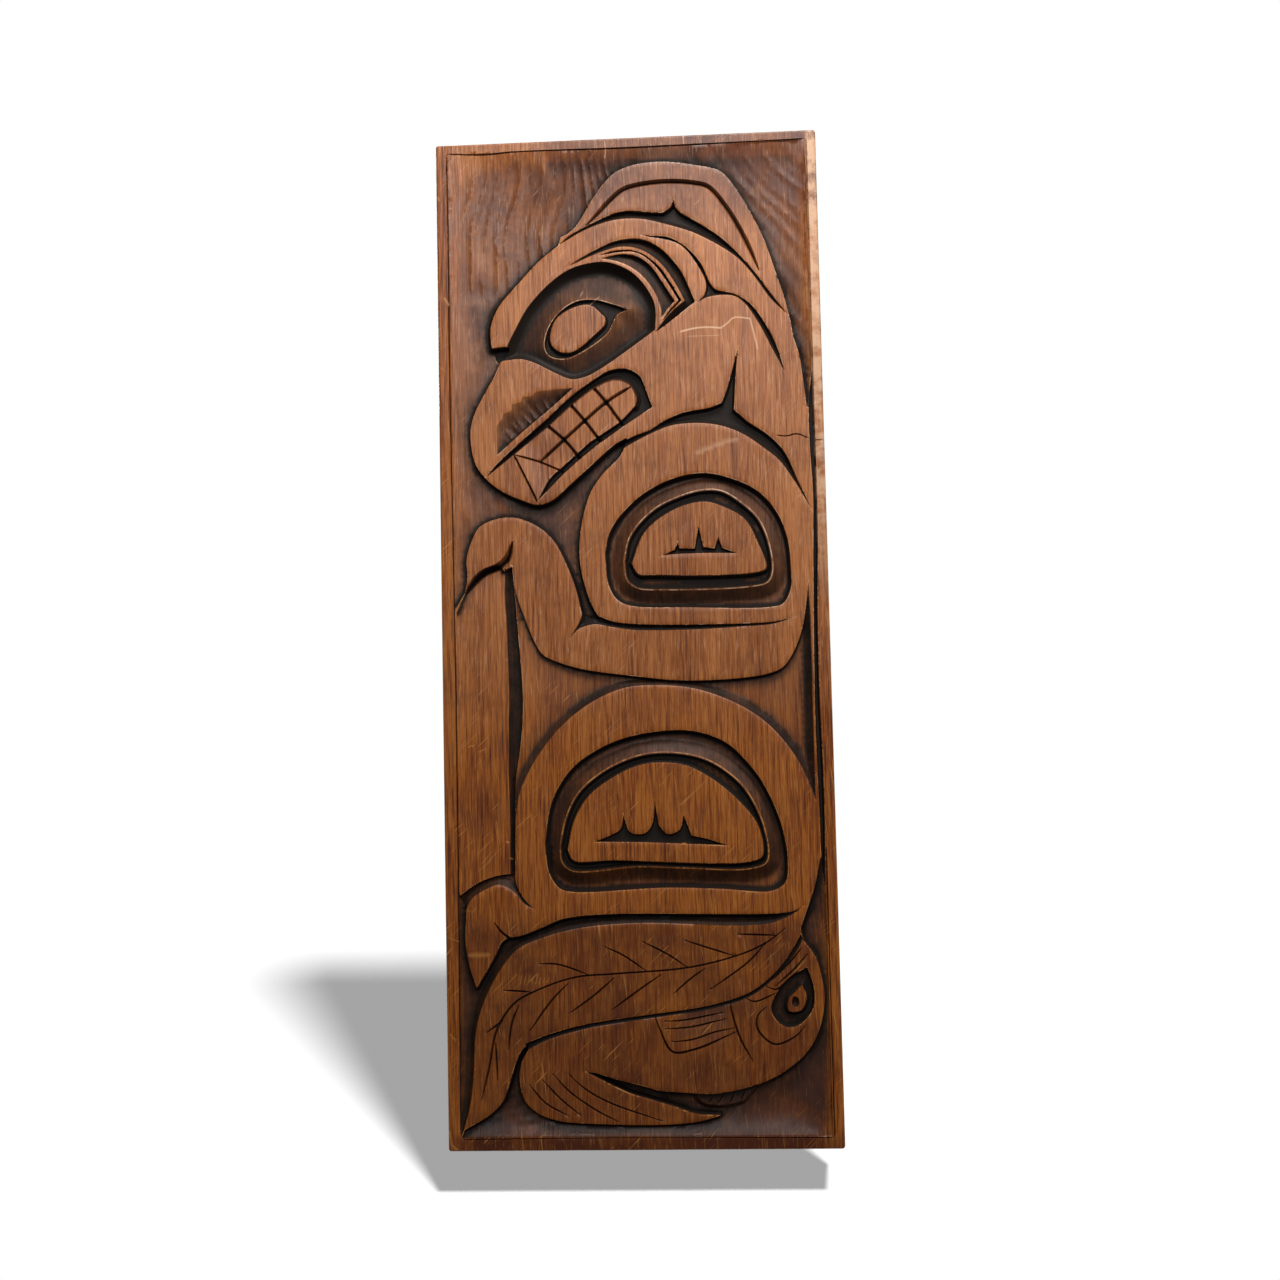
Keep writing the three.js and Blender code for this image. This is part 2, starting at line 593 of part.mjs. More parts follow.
// A solid as a mesh with flat faces.
function meshOf(manifold, name, material) {
  const { vertProperties, triVerts } = manifold.getMesh();
  const geometry = new THREE.BufferGeometry();
  geometry.setAttribute("position", new THREE.Float32BufferAttribute(vertProperties, 3));
  geometry.setIndex(new THREE.Uint32BufferAttribute(triVerts, 1));
  geometry.computeVertexNormals();
  const mesh = new THREE.Mesh(geometry, material);
  mesh.name = name;
  return mesh;
}

const cedar = new THREE.MeshStandardMaterial({ color: 0x8a5232, roughness: 0.5, metalness: 0 });
const panel = new THREE.Group();
panel.add(meshOf(carvedPanel(), "carved_panel", cedar));

export default panel;
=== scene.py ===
"""A carved cedar wall panel: a bear crouching over a salmon, cut in low relief from one plank.

The drawing of the relief is in millimetres, seen from the front, with x to the right, z up and
the origin at the middle of the plank. The finished mesh is in metres, with its front towards -Y.
"""

import logging
import math
from dataclasses import dataclass, field
from enum import Enum

import bpy
import numpy as np
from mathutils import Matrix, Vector
from mathutils.geometry import delaunay_2d_cdt


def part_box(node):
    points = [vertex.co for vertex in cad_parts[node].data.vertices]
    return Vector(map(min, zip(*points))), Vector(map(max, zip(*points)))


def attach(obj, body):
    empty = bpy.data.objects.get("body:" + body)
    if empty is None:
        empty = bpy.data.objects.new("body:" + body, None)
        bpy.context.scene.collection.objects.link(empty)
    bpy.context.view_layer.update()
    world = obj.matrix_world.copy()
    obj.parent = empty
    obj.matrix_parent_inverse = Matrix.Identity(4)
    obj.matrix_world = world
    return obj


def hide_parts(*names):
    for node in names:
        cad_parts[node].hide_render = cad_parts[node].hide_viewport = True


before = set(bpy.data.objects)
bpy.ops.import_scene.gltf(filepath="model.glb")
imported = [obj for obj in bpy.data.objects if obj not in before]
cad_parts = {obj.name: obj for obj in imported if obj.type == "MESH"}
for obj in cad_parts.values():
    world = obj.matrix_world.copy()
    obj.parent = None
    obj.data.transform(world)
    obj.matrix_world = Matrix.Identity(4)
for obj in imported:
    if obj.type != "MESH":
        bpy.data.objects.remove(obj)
log = logging.getLogger("panel")

MM = 0.001  # in metres
CHAIN = 10  # pieces of a line that are measured together
EASED = 0.14  # how far the edge of a steep cut is worn down, in mm
RAMP = 0.7  # how far from its edge a rim reaches its depth, in mm


# plane geometry


def smooth_line(points: tuple, step: float) -> np.ndarray:
    """Points at about even steps along a smooth curve.

    Args:
        points: the points that the curve passes through, in mm.
        step: the distance between the points returned, in mm.

    Returns:
        An array with one row for each point.
    """
    p = np.array(points, float)
    if len(p) == 2:
        count = max(1, math.ceil(np.hypot(*(p[1] - p[0])) / step))
        return p[0] + (p[1] - p[0]) * np.linspace(0, 1, count + 1)[:, None]
    q = np.vstack([2 * p[0] - p[1], p, 2 * p[-1] - p[-2]])
    parts = []
    for a, b, c, d in zip(q[:-3], q[1:-2], q[2:-1], q[3:]):
        tb = np.hypot(*(b - a)) ** 0.5
        tc = tb + np.hypot(*(c - b)) ** 0.5
        td = tc + np.hypot(*(d - c)) ** 0.5
        count = max(1, math.ceil(np.hypot(*(c - b)) / step))
        t = np.linspace(tb, tc, count + 1)[:-1, None]
        ab = ((tb - t) * a + t * b) / tb
        bc = ((tc - t) * b + (t - tb) * c) / (tc - tb)
        cd = ((td - t) * c + (t - tc) * d) / (td - tc)
        abc = ((tc - t) * ab + t * bc) / tc
        bcd = ((td - t) * bc + (t - tb) * cd) / (td - tb)
        parts.append(((tc - t) * abc + (t - tb) * bcd) / (tc - tb))
    return np.vstack(parts + [p[-1:]])


def distance_to(line: np.ndarray, at: np.ndarray, reach: float = 1e6) -> tuple:
    """How far points lie from a line, and how far along it their nearest place is.

    Args:
        line: the line's points.
        at: the points to measure from.
        reach: the distance past which it doesn't matter, in mm.

    Returns:
        Two arrays: the distances, and the share of the line passed, from 0 to 1.
    """
    start = line[:-1]
    run = line[1:] - start
    squared = np.maximum((run**2).sum(1), 1e-12)
    lengths = np.sqrt(squared)
    passed = np.concatenate([[0.0], np.cumsum(lengths)])
    far = np.full(len(at), reach)
    share = np.zeros(len(at))
    for first in range(0, len(start), CHAIN):
        links = slice(first, first + CHAIN)
        piece = line[first : first + CHAIN + 1]
        chosen = np.flatnonzero(((at > piece.min(0) - reach) & (at < piece.max(0) + reach)).all(1))
        if not len(chosen):
            continue
        some = at[chosen][:, None, :] - start[links][None]
        t = np.clip((some * run[links]).sum(2) / squared[links], 0, 1)
        off = np.hypot(*np.moveaxis(some - t[..., None] * run[links], 2, 0))
        nearest = off.argmin(1)
        rows = np.arange(len(nearest))
        here = off[rows, nearest]
        closer = here < far[chosen]
        chosen, nearest, rows = chosen[closer], nearest[closer], rows[closer]
        far[chosen] = here[closer]
        share[chosen] = (passed[first + nearest] + t[rows, nearest] * lengths[first + nearest]) / passed[-1]
    return far, share


def is_inside(ring: np.ndarray, at: np.ndarray) -> np.ndarray:
    """Which points lie inside a closed ring.

    Args:
        ring: the ring's points, in order.
        at: the points asked about.

    Returns:
        True for each point that lies inside.
    """
    after = np.roll(ring, -1, axis=0)
    crossings = np.zeros(len(at), int)
    for first in range(0, len(ring), CHAIN):
        a, b = ring[first : first + CHAIN], after[first : first + CHAIN]
        low = min(a[:, 1].min(), b[:, 1].min())
        high = max(a[:, 1].max(), b[:, 1].max())
        right = max(a[:, 0].max(), b[:, 0].max())
        chosen = np.flatnonzero((at[:, 1] >= low) & (at[:, 1] <= high) & (at[:, 0] <= right))
        x, z = at[chosen, None, 0], at[chosen, None, 1]
        spans = (a[:, 1] > z) != (b[:, 1] > z)
        rise = np.where(b[:, 1] == a[:, 1], 1e-9, b[:, 1] - a[:, 1])
        crossing = a[:, 0] + (z - a[:, 1]) * (b[:, 0] - a[:, 0]) / rise
        crossings[chosen] += ((x < crossing) & spans).sum(1)
    return crossings % 2 == 1


def scatter(i: np.ndarray, j: np.ndarray, seed: int) -> np.ndarray:
    """Scattered numbers that are the same on every run.

    Args:
        i, j: the whole numbers of the cells.
        seed: picks another set.

    Returns:
        A number from 0 to 1 for each cell.
    """
    mixed = np.sin(i * 127.1 + j * 311.7 + seed * 74.7) * 43758.5453
    return mixed - np.floor(mixed)


def cloud(at: np.ndarray, size: float, seed: int) -> np.ndarray:
    """Soft noise over the plane.

    Args:
        at: the points, in mm.
        size: how wide its lumps are, in mm.
        seed: picks another pattern.

    Returns:
        A value from -1 to 1 at each point.
    """
    u = at / size
    cell = np.floor(u)
    t = u - cell
    t = t * t * (3 - 2 * t)
    i, j = cell[:, 0], cell[:, 1]
    low = scatter(i, j, seed) * (1 - t[:, 0]) + scatter(i + 1, j, seed) * t[:, 0]
    high = scatter(i, j + 1, seed) * (1 - t[:, 0]) + scatter(i + 1, j + 1, seed) * t[:, 0]
    return 2 * (low * (1 - t[:, 1]) + high * t[:, 1]) - 1


def soft_least(a: np.ndarray, b: np.ndarray, reach: float) -> np.ndarray:
    """The smaller of two values, rounded where they meet.

    Args:
        a, b: the values.
        reach: how far apart they are where the rounding starts.

    Returns:
        The smaller at each place.
    """
    near = np.maximum(reach - np.abs(a - b), 0) / reach
    return np.minimum(a, b) - near * near * reach / 4


def soft_step(value: np.ndarray, low: float, high: float) -> np.ndarray:
    """A smooth rise.

    Args:
        value: the values asked about.
        low, high: where it starts from 0 and where it reaches 1.

    Returns:
        A value from 0 to 1 for each.
    """
    t = np.clip((value - low) / (high - low), 0, 1)
    return t * t * (3 - 2 * t)


# cuts in the wood


class Wall(Enum):
    """How steeply the wood falls away from an edge, in mm down for each mm across."""

    SHEER = 5.0
    STEEP = 2.7
    SLOPING = 1.15
    EASY = 0.7
    LEVEL = 0.0


@dataclass(frozen=True)
class Edge:
    """One smooth stretch of an outline, and the wall that falls away from it.

    Args:
        points: the drawn points.
        wall: the steepness of the wall, as a Wall or a number.
        rim: the depth at the edge itself, in mm.
        shelf: the width kept level before the wall starts, in mm.
        shade: how much dark stain and painted shade its wall holds, from 0 to 1, or None to judge it by the
            slope.
    """

    points: tuple
    wall: "Wall | float" = Wall.SHEER
    rim: float = 0.0
    shelf: float = 0.0
    shade: "float | None" = None

    @property
    def slope(self) -> float:
        """Returns: the steepness as a number."""
        return self.wall.value if isinstance(self.wall, Wall) else float(self.wall)

    @property
    def stain(self) -> float:
        """Returns: how much dark stain and painted shade the wall holds, from 0 to 1."""
        return self.shade if self.shade is not None else min(1.0, self.slope / 1.2) ** 0.5

    def line(self, step: float) -> np.ndarray:
        """The stretch's points.

        Args:
            step: the distance between them, in mm.

        Returns:
            The points at even steps.
        """
        return smooth_line(self.points, step)

    def measured(self) -> np.ndarray:
        """Returns: the points that distances are measured to."""
        return np.array(self.points, float) if len(self.points) == 2 else smooth_line(self.points, 2.0)

    def fall(self, far: np.ndarray, outermost: bool) -> np.ndarray:
        """How deep the wall is.

        Args:
            far: distances from the edge, in mm.
            outermost: whether the edge bounds the cut from outside.

        Returns:
            The depths, in mm.
        """
        start = self.rim
        if outermost and self.slope < 0.9:
            start = self.rim * np.clip(far / RAMP, 0, 1)
        return start + self.slope * np.maximum(0, far - self.shelf) + EASED * min(1, self.slope)


@dataclass(frozen=True)
class Gouge:
    """Marks left by a gouge: overlapping scoops in rows.

    Args:
        width: across one scoop, in mm.
        length: along one scoop, in mm.
        depth: how deep a scoop is, in mm.
        lean: how far the rows lean from upright, in degrees to the right at the top.
        patch: left, right, bottom and top of where it was used, in mm.
        seed: picks the scatter of the scoops.
    """

    width: float
    length: float
    depth: float
    lean: float
    patch: tuple
    seed: int

    def dents(self, at: np.ndarray) -> tuple:
        """The marks that the gouge leaves.

        Args:
            at: the points, in mm.

        Returns:
            Two arrays: their depth in mm, and how near the ridges between them are, from 0 to 1.
        """
        left, right, bottom, top = self.patch
        bent = self.lean + 5 * cloud(at, 60.0, self.seed + 9)
        turn = np.radians(bent)
        x, z = at[:, 0], at[:, 1]
        u = x * np.cos(turn) - z * np.sin(turn) + 2.0 * cloud(at, 35.0, self.seed + 5)
        v = x * np.sin(turn) + z * np.cos(turn)
        i0 = np.floor(u / self.width)
        j0 = np.floor(v / self.length)
        best = np.full(len(at), -self.depth)
        for di in (-1, 0, 1):
            for dj in (-1, 0, 1):
                i, j = i0 + di, j0 + dj
                shift = 0.5 + 0.35 * (scatter(i, j, self.seed) - 0.5)
                lag = 0.5 * (i % 2) + 0.7 * (scatter(i, j, self.seed + 1) - 0.5)
                reach = self.depth * (0.75 + 0.6 * scatter(i, j, self.seed + 2))
                across = (u - (i + shift) * self.width) / (0.62 * self.width)
                along = (v - (j + 0.5 + lag) * self.length) / (0.75 * self.length)
                best = np.maximum(best, reach * (1 - across**2 - along**2))
        x = x + 9 * cloud(at, 26.0, self.seed + 6)
        z = z + 9 * cloud(at, 22.0, self.seed + 7)
        fade = (
            soft_step(x, left - 9, left + 9)
            * (1 - soft_step(x, right - 9, right + 9))
            * soft_step(z, bottom - 9, bottom + 9)
            * (1 - soft_step(z, top - 9, top + 9))
        )
        return best * fade, soft_step(-best / self.depth, 0.05, 0.75) * fade


class Surface:
    """The carved surface at a set of points.

    Args:
        at: the points, in mm.
    """

    names = ("wall", "shade_and_stain_halo", "tone", "ridge", "crest", "bare")

    def __init__(self, at: np.ndarray) -> None:
        self.at = at
        self.depth = np.zeros(len(at))
        self.looks = {name: np.zeros(len(at)) for name in self.names}

    def raise_to(self, name: str, chosen: np.ndarray, values: np.ndarray) -> None:
        """Keeps the larger of a look's value and a new one.

        Args:
            name: the look.
            chosen: the numbers of the points meant.
            values: the new values at them.
        """
        look = self.looks[name]
        look[chosen] = np.maximum(look[chosen], values)


@dataclass(frozen=True)
class Cut:
    """An area taken down from the front, bounded by edges, with islands left standing in it.

    Args:
        edges: the outline, in order all the way round.
        floor: how deep it is where no wall is near, in mm.
        islands: closed outlines left uncut.
        round_off: how softly the walls meet each other and the floor, in mm.
        gouges: the tool marks on the floor.
        uneven: the floor's unevenness, in mm.
        tone: how far the floor takes the ground's stain, from 0 to 1.
        shade_and_stain_halo: how far the darker stain and painted shade spread from its steep walls, in mm.
        black: how far the whole of it takes the dark stain and painted shade of its walls, from 0 to 1.
    """

    edges: tuple
    floor: float
    islands: tuple = ()
    round_off: float = 0.8
    gouges: tuple = ()
    uneven: float = 0.0
    tone: float = 0.0
    shade_and_stain_halo: float = 2.5
    black: float = 0.0

    def carve(self, surface: Surface) -> None:
        """Takes the cut out of a surface.

        Args:
            surface: the Surface to change.
        """
        at = surface.at
        outline = np.vstack([edge.line(2.0) for edge in self.edges])
        low, high = outline.min(0) - 2, outline.max(0) + 2
        chosen = np.flatnonzero(((at >= low) & (at <= high)).all(1))
        near = at[chosen]
        inside = is_inside(outline, near)
        for island in self.islands:
            inside &= ~is_inside(np.vstack([edge.line(2.0) for edge in island]), near)
        floor = self.floor + self.uneven * cloud(near, 22.0, 3)
        down = floor.copy()
        wall = np.zeros(len(near))
        crest = np.zeros(len(near))
        shade_and_stain_halo = np.zeros(len(near))
        ridge = np.zeros(len(near))
        nearest = np.full(len(near), 99.0)
        every = [(edge, True) for edge in self.edges]
        every += [(edge, False) for island in self.islands for edge in island]
        for edge, outermost in every:
            slope = edge.slope
            if slope == 0:
                continue
            line = edge.measured()
            reach = (self.floor + 2) / slope + edge.shelf + max(4, 3.2 * self.shade_and_stain_halo if slope >= 0.6 else 0)
            box = ((near >= line.min(0) - reach) & (near <= line.max(0) + reach)).all(1)
            if not box.any():
                continue
            far, _ = distance_to(line, near[box], reach)
            softness = self.round_off if slope >= 0.5 else 5.0
            down[box] = soft_least(down[box], edge.fall(far, outermost), softness)
            nearest[box] = np.minimum(nearest[box], far)
            if slope >= 0.6:
                foot = (self.floor - edge.rim) / slope + edge.shelf
                # dark stain and painted shade on the steep wall itself
                wall[box] = np.maximum(wall[box], edge.stain * np.exp(-np.maximum(0, far - foot) / 1.1))
                # painted shade, partly stain, spreading from the foot of a steep wall over the floor
                spread = edge.stain * np.exp(-np.maximum(0, far - foot) / self.shade_and_stain_halo)
                shade_and_stain_halo[box] = np.maximum(shade_and_stain_halo[box], spread)
            if slope >= 0.9:
                crest[box] = np.maximum(crest[box], min(1, slope / 2) * np.exp(-far / 0.7))
        for gouge in self.gouges:
            dents, ridges = gouge.dents(near)
            flat = soft_step(down, 0.6, 3.0)
            down += dents * flat
            ridge = np.maximum(ridge, ridges * flat)
        shoulder = EASED * np.maximum(0, crest - 0.6) / 0.4
        taken_down = np.where(inside, np.maximum(down, 0), shoulder)
        surface.depth[chosen] = np.maximum(surface.depth[chosen], taken_down)
        lowered = inside * soft_step(nearest, 0.0, 0.5)
        # the whole cut takes the dark stain and painted shade of its walls as far as black says
        surface.raise_to("wall", chosen, np.maximum(wall, self.black) * lowered)
        surface.raise_to("shade_and_stain_halo", chosen, shade_and_stain_halo * lowered)
        surface.raise_to("tone", chosen, self.tone * inside * soft_step(down / self.floor, 0.12, 0.5))
        surface.raise_to("ridge", chosen, ridge * inside)
        surface.raise_to("crest", chosen, np.where(inside, 0.35 * crest, crest))

    def rows(self, spacing: float) -> list:
        """Mesh points that follow the edges.

        Args:
            spacing: the distance between them, in mm.

        Returns:
            An array of points for each row.
        """
        found = []
        outlines = [(self.edges, 1)] + [(island, -1) for island in self.islands]
        for edges, side in outlines:
            ring = np.vstack([edge.line(2.0) for edge in edges])
            after = np.roll(ring, -1, axis=0)
            area = (ring[:, 0] * after[:, 1] - after[:, 0] * ring[:, 1]).sum()
            inward = side * (1 if area > 0 else -1)
            for edge in edges:
                if edge.slope == 0:
                    continue
                line = edge.line(spacing)
                along = np.gradient(line, axis=0)
                along /= np.maximum(np.hypot(along[:, 0], along[:, 1]), 1e-9)[:, None]
                normal = np.stack([-along[:, 1], along[:, 0]], 1) * inward
                foot = (self.floor - edge.rim) / edge.slope
                if edge.slope >= 0.9:
                    offsets = [0.0, -0.5, 0.5, foot]
                else:
                    offsets = [0.0, RAMP]
                if edge.shelf:
                    offsets = [offset + edge.shelf for offset in offsets if offset >= 0] + [0.0]
                found += [line + normal * offset for offset in offsets if offset < 9]
        return found


@dataclass(frozen=True)
class Boss:
    """A low shape left standing in a cut, below the front.

    Args:
        edges: its outline.
        level: the depth of its top, in mm.
        slope: how steeply its sides go down.
    """

    edges: tuple
    level: float
    slope: float = 1.6

    def carve(self, surface: Surface) -> None:
        """Leaves the boss standing.

        Args:
            surface: the Surface to change.
        """
        at = surface.at
        outline = np.vstack([edge.line(2.0) for edge in self.edges])
        far, _ = distance_to(np.vstack([outline, outline[:1]]), at, 8.0)
        inside = is_inside(outline, at)
        allowed = self.level + self.slope * np.where(inside, 0, far)
        surface.depth = soft_least(surface.depth, allowed, 0.5)


@dataclass(frozen=True)
class Stroke:
    """A line cut with a V tool, pointed at its ends.

    Args:
        points: the points along it.
        width: across at its widest, in mm.
        depth: at its deepest, in mm.
        tail: the share of its length over which each end tapers.
        blunt_start, blunt_end: whether that end is cut off square.
    """

    points: tuple
    width: float = 1.6
    depth: float = 1.5
    tail: float = 0.3
    blunt_start: bool = False
    blunt_end: bool = False

    def swell(self, share: np.ndarray) -> np.ndarray:
        """How wide the line is.

        Args:
            share: shares of its length, from 0 to 1.

        Returns:
            Shares of its full width.
        """
        start = np.ones_like(share) if self.blunt_start else np.clip(share / self.tail, 0, 1)
        end = np.ones_like(share) if self.blunt_end else np.clip((1 - share) / self.tail, 0, 1)
        return np.sqrt(np.minimum(start, end))

    def carve(self, surface: Surface) -> None:
        """Cuts the stroke into a surface.

        Args:
            surface: the Surface to change.
        """
        at = surface.at
        line = smooth_line(self.points, 2.0)
        reach = self.width
        chosen = np.flatnonzero(((at >= line.min(0) - reach) & (at <= line.max(0) + reach)).all(1))
        if not len(chosen):
            return
        far, share = distance_to(line, at[chosen], self.width + 3)
        swell = self.swell(share)
        half = np.maximum(self.width * swell / 2, 0.05)
        down = self.depth * swell * np.clip(1 - far / half, 0, 1)
        surface.depth[chosen] += down
        # the V groove holds dark stain and painted shade by its depth
        surface.raise_to("wall", chosen, soft_step(down, 0.05, 0.7))
        surface.raise_to("crest", chosen, swell * 0.5 * np.exp(-np.maximum(0, far - half) / 0.6))

    def rows(self, spacing: float) -> list:
        """Mesh points along the stroke and its two edges.

        Args:
            spacing: the distance between them, in mm.

        Returns:
            An array of points for each row.
        """
        line = smooth_line(self.points, spacing)
        along = np.gradient(line, axis=0)
        along /= np.maximum(np.hypot(along[:, 0], along[:, 1]), 1e-9)[:, None]
        normal = np.stack([-along[:, 1], along[:, 0]], 1)
        half = self.width / 2 * self.swell(np.linspace(0, 1, len(line)))[:, None]
        return [line, line + normal * half, line - normal * half]


@dataclass(frozen=True)
class Mark:
    """A scratch or fleck where the varnish is gone and pale wood shows.

    Args:
        points: the points along it.
        width: across, in mm.
        strength: how pale it is, from 0 to 1.
    """

    points: tuple
    width: float = 0.9
    strength: float = 0.7

    def bare_at(self, at: np.ndarray) -> np.ndarray:
        """How bare the wood is.

        Args:
            at: the points, in mm.

        Returns:
            A value from 0 to 1 for each.
        """
        line = smooth_line(self.points, 1.5)
        chosen = np.flatnonzero(((at >= line.min(0) - 3) & (at <= line.max(0) + 3)).all(1))
        bare = np.zeros(len(at))
        if len(chosen):
            far, _ = distance_to(line, at[chosen], 4.0)
            bare[chosen] = self.strength * np.clip(1.25 - far / (self.width * 0.5), 0, 1)
        return bare

    def rows(self, spacing: float) -> list:
        """Mesh points along the mark and beside it.

        Args:
            spacing: twice the distance between them, in mm.

        Returns:
            An array of points for each row.
        """
        line = smooth_line(self.points, spacing / 2)
        along = np.gradient(line, axis=0)
        along /= np.maximum(np.hypot(along[:, 0], along[:, 1]), 1e-9)[:, None]
        normal = np.stack([-along[:, 1], along[:, 0]], 1)
        return [line, line + normal * self.width * 0.65, line - normal * self.width * 0.65]


# the drawing


def closed(
    points: tuple,
    wall: "Wall | float" = Wall.SHEER,
    rim: float = 0.0,
    shelf: float = 0.0,
    shade: "float | None" = None,
) -> tuple:
    """A closed outline of one smooth edge.

    Args:
        points: the drawn points, without the first again.
        wall, rim, shelf, shade: as for an Edge.

    Returns:
        The outline's edges.
    """
    return (Edge(tuple(points) + (points[0],), wall, rim, shelf, shade),)


FLUTES = (
    Gouge(10.5, 75.0, 1.6, -8.0, (-150, 10, 262, 390), 1),
    Gouge(9.0, 50.0, 0.8, -3.0, (-150, -70, 20, 262), 2),
    Gouge(9.0, 60.0, 0.8, -32.0, (50, 150, 160, 390), 3),
)
FACETS = (
    Gouge(8.0, 17.0, 0.6, 80.0, (-150, 60, -380, -330), 5),
    Gouge(9.0, 30.0, 0.6, 20.0, (60, 150, -380, -160), 6),
)

UPPER_GROUND = Cut(
    edges=(
        Edge(((-136.5, 371), (137, 371)), 0.15, 0.7),
        Edge(((137, 371), (137, 166)), 0.3, 0.9),
        Edge(((137, 166), (132.6, 166)), Wall.EASY),
        Edge(((132.6, 166), (130.5, 186), (128, 206), (124, 220), (122.5, 231))),
        Edge(
            ((122.5, 231), (118, 251), (113, 267), (104, 295.5), (92, 321.5), (77, 345), (71, 350.2),
             (60, 353.5),
             (30, 358.4), (10, 357.5), (-4, 353.5), (-12, 348), (-24, 333.5), (-34, 317), (-41, 308),
             (-50, 303)),
        ),
        Edge(((-50, 303), (-52, 296.5))),
        Edge(((-52, 296.5), (-68, 284), (-84, 267), (-98, 251), (-104.5, 235), (-104, 219)), Wall.STEEP),
        Edge(((-104, 219), (-93, 219))),
        Edge(((-93, 219), (-97, 209))),
        Edge(
            ((-97, 209), (-102, 198), (-110, 184), (-117, 171), (-121, 157), (-120.5, 143), (-117, 129.5),
             (-108, 117.5),
             (-97, 109), (-82, 102), (-71, 98.5), (-60, 101.5), (-48, 111.5), (-28, 129), (-12, 142.5),
             (-3, 147.3)),
        ),
        Edge(
            ((-3, 144), (-8, 133.5), (-22, 119.5), (-32, 104), (-39, 77), (-40, 58), (-38.5, 45), (-33, 25),
             (-28, 15),
             (-25, 10.5)),
        ),
        Edge(
            ((-39.5, 15), (-43, 32), (-50, 52), (-59, 70), (-70, 81), (-86, 88.5), (-100, 89), (-115, 83),
             (-121, 73),
             (-125.5, 58), (-125, 45), (-127, 33)),
        ),
        Edge(((-127, 33), (-135, 20))),
        Edge(((-135, 20), (-136.5, 371)), 0.13, 0.9),
    ),
    floor=8.6,
    gouges=FLUTES,
    uneven=0.25,
    tone=0.88,
    shade_and_stain_halo=9.0,
)

SLAB = Cut(
    edges=(
        Edge(((-134, 18), (-134.5, -193)), 0.07, 0.7),
        Edge(((-134.5, -193), (-128, -188), (-118, -182), (-105, -178), (-93, -177)), Wall.LEVEL),
        Edge(((-93, -177), (-94, -165), (-94, -100), (-91, -70), (-89.5, -40), (-91, 10), (-91.5, 30),
              (-97, 49)), Wall.LEVEL),
        Edge(((-97, 49), (-102, 53), (-114, 48.5), (-122, 40), (-127, 33)), Wall.STEEP),
        Edge(((-127, 33), (-134, 18)), Wall.STEEP),
    ),
    floor=3.0,
    gouges=(Gouge(13.0, 60.0, 0.18, 0.0, (-140, -80, -190, 60), 7),),
)

SIDE_GROOVE = Cut(
    edges=(
        Edge(((-97, 49), (-97.5, 30), (-96.5, 10), (-95.5, -40), (-96, -70), (-96.5, -100), (-96, -140),
              (-96.5, -177)),
             Wall.EASY, 2.4),
        Edge(((-96.5, -177), (-92.5, -178)), Wall.LEVEL),
        Edge(((-92.5, -178), (-91.5, -140), (-90.5, -105), (-88, -90), (-85.5, -70), (-84.5, -45),
              (-86.5, -10), (-88, 10), (-90, 40),
              (-91, 52))),
        Edge(((-91, 52), (-97, 49)), Wall.LEVEL),
    ),
    floor=6.0,
    black=0.75,
)

CLAW_GROOVE = Stroke(((-127, 31), (-121, 40), (-113, 47.5), (-102, 52), (-95, 58), (-90.5, 71)),
                     6.5, 6.0, 0.25)

BELLY = Cut(
    edges=(
        Edge(
            ((-90, 40), (-87, 28), (-82, 13), (-75, -5), (-69, -14.5), (-60, -19.5), (-40, -26), (0, -32.3),
             (30, -36),
             (55, -36.5), (80, -35.3), (97, -33), (109, -28.5), (116.5, -19), (123.5, -3), (128, 19),
             (130, 36)),
        ),
        Edge(((130, 36), (131, 0), (130.8, -60), (131, -128)), 0.9, 0.2),
        Edge(
            ((131, -128), (127, -116), (118, -96.5), (108, -82), (96, -69), (80, -57.5), (60, -48),
             (40, -42), (15, -39.7), (-8, -41), (-32, -50.5), (-55, -67.5), (-73, -89), (-81, -102),
             (-88, -118), (-91.5, -140)),
            1.0, shade=0.75,
        ),
        Edge(((-91.5, -140), (-90.5, -105), (-88, -90), (-85.5, -70), (-84.5, -45), (-86.5, -10), (-88, 10),
              (-90, 40)), 0.16),
    ),
    floor=4.8,
    uneven=0.2,
    tone=0.3,
    shade_and_stain_halo=5.0,
)

FOOT_BEVEL = Cut(
    edges=(
        Edge(((-134.5, -193), (-128, -188), (-118, -182), (-105, -178), (-93, -177)), Wall.SHEER, 2.2),
        Edge(((-93, -177), (-91.2, -186), (-86.5, -195), (-79, -203))),
        Edge(((-79, -203), (-87, -199), (-91.5, -193), (-97, -188), (-105, -185), (-115, -188.5),
              (-125, -195), (-130, -204)),
             0.85, shade=0.7),
        Edge(((-130, -204), (-134.5, -193)), Wall.LEVEL),
    ),
    floor=5.4,
)

FOOT_GROUND = Cut(
    edges=(
        Edge(((-134.8, -190), (-129, -202)), Wall.LEVEL),
        Edge(((-129, -202), (-130.3, -225), (-127.5, -244), (-122.5, -260))),
        Edge(((-122.5, -260), (-115, -248), (-108, -236), (-103, -226.5), (-98, -223.5)), Wall.STEEP),
        Edge(
            ((-98, -223.5), (-88, -222), (-72, -216), (-60, -211), (-50, -209), (-20, -207.3),
             (100, -208.7), (113, -207),
             (120, -203.5)),
            2.0,
        ),
        Edge(
            ((120, -203.5), (113, -209), (98, -215.5), (88, -217), (65, -217.5), (0, -214.5), (-45, -217.5),
             (-72, -224),
             (-91, -232), (-103, -245), (-116, -268), (-123, -290), (-125.5, -325), (-128, -344),
             (-133, -362.5)),
            Wall.SLOPING, shade=0.75,
        ),
        Edge(((-133, -362.5), (-135.5, -368)), Wall.STEEP),
        Edge(((-135.5, -368), (-134.8, -190)), 0.5, 0.9),
    ),
    floor=6.0,
    tone=0.9,
    shade_and_stain_halo=5.0,
    black=0.55,
)

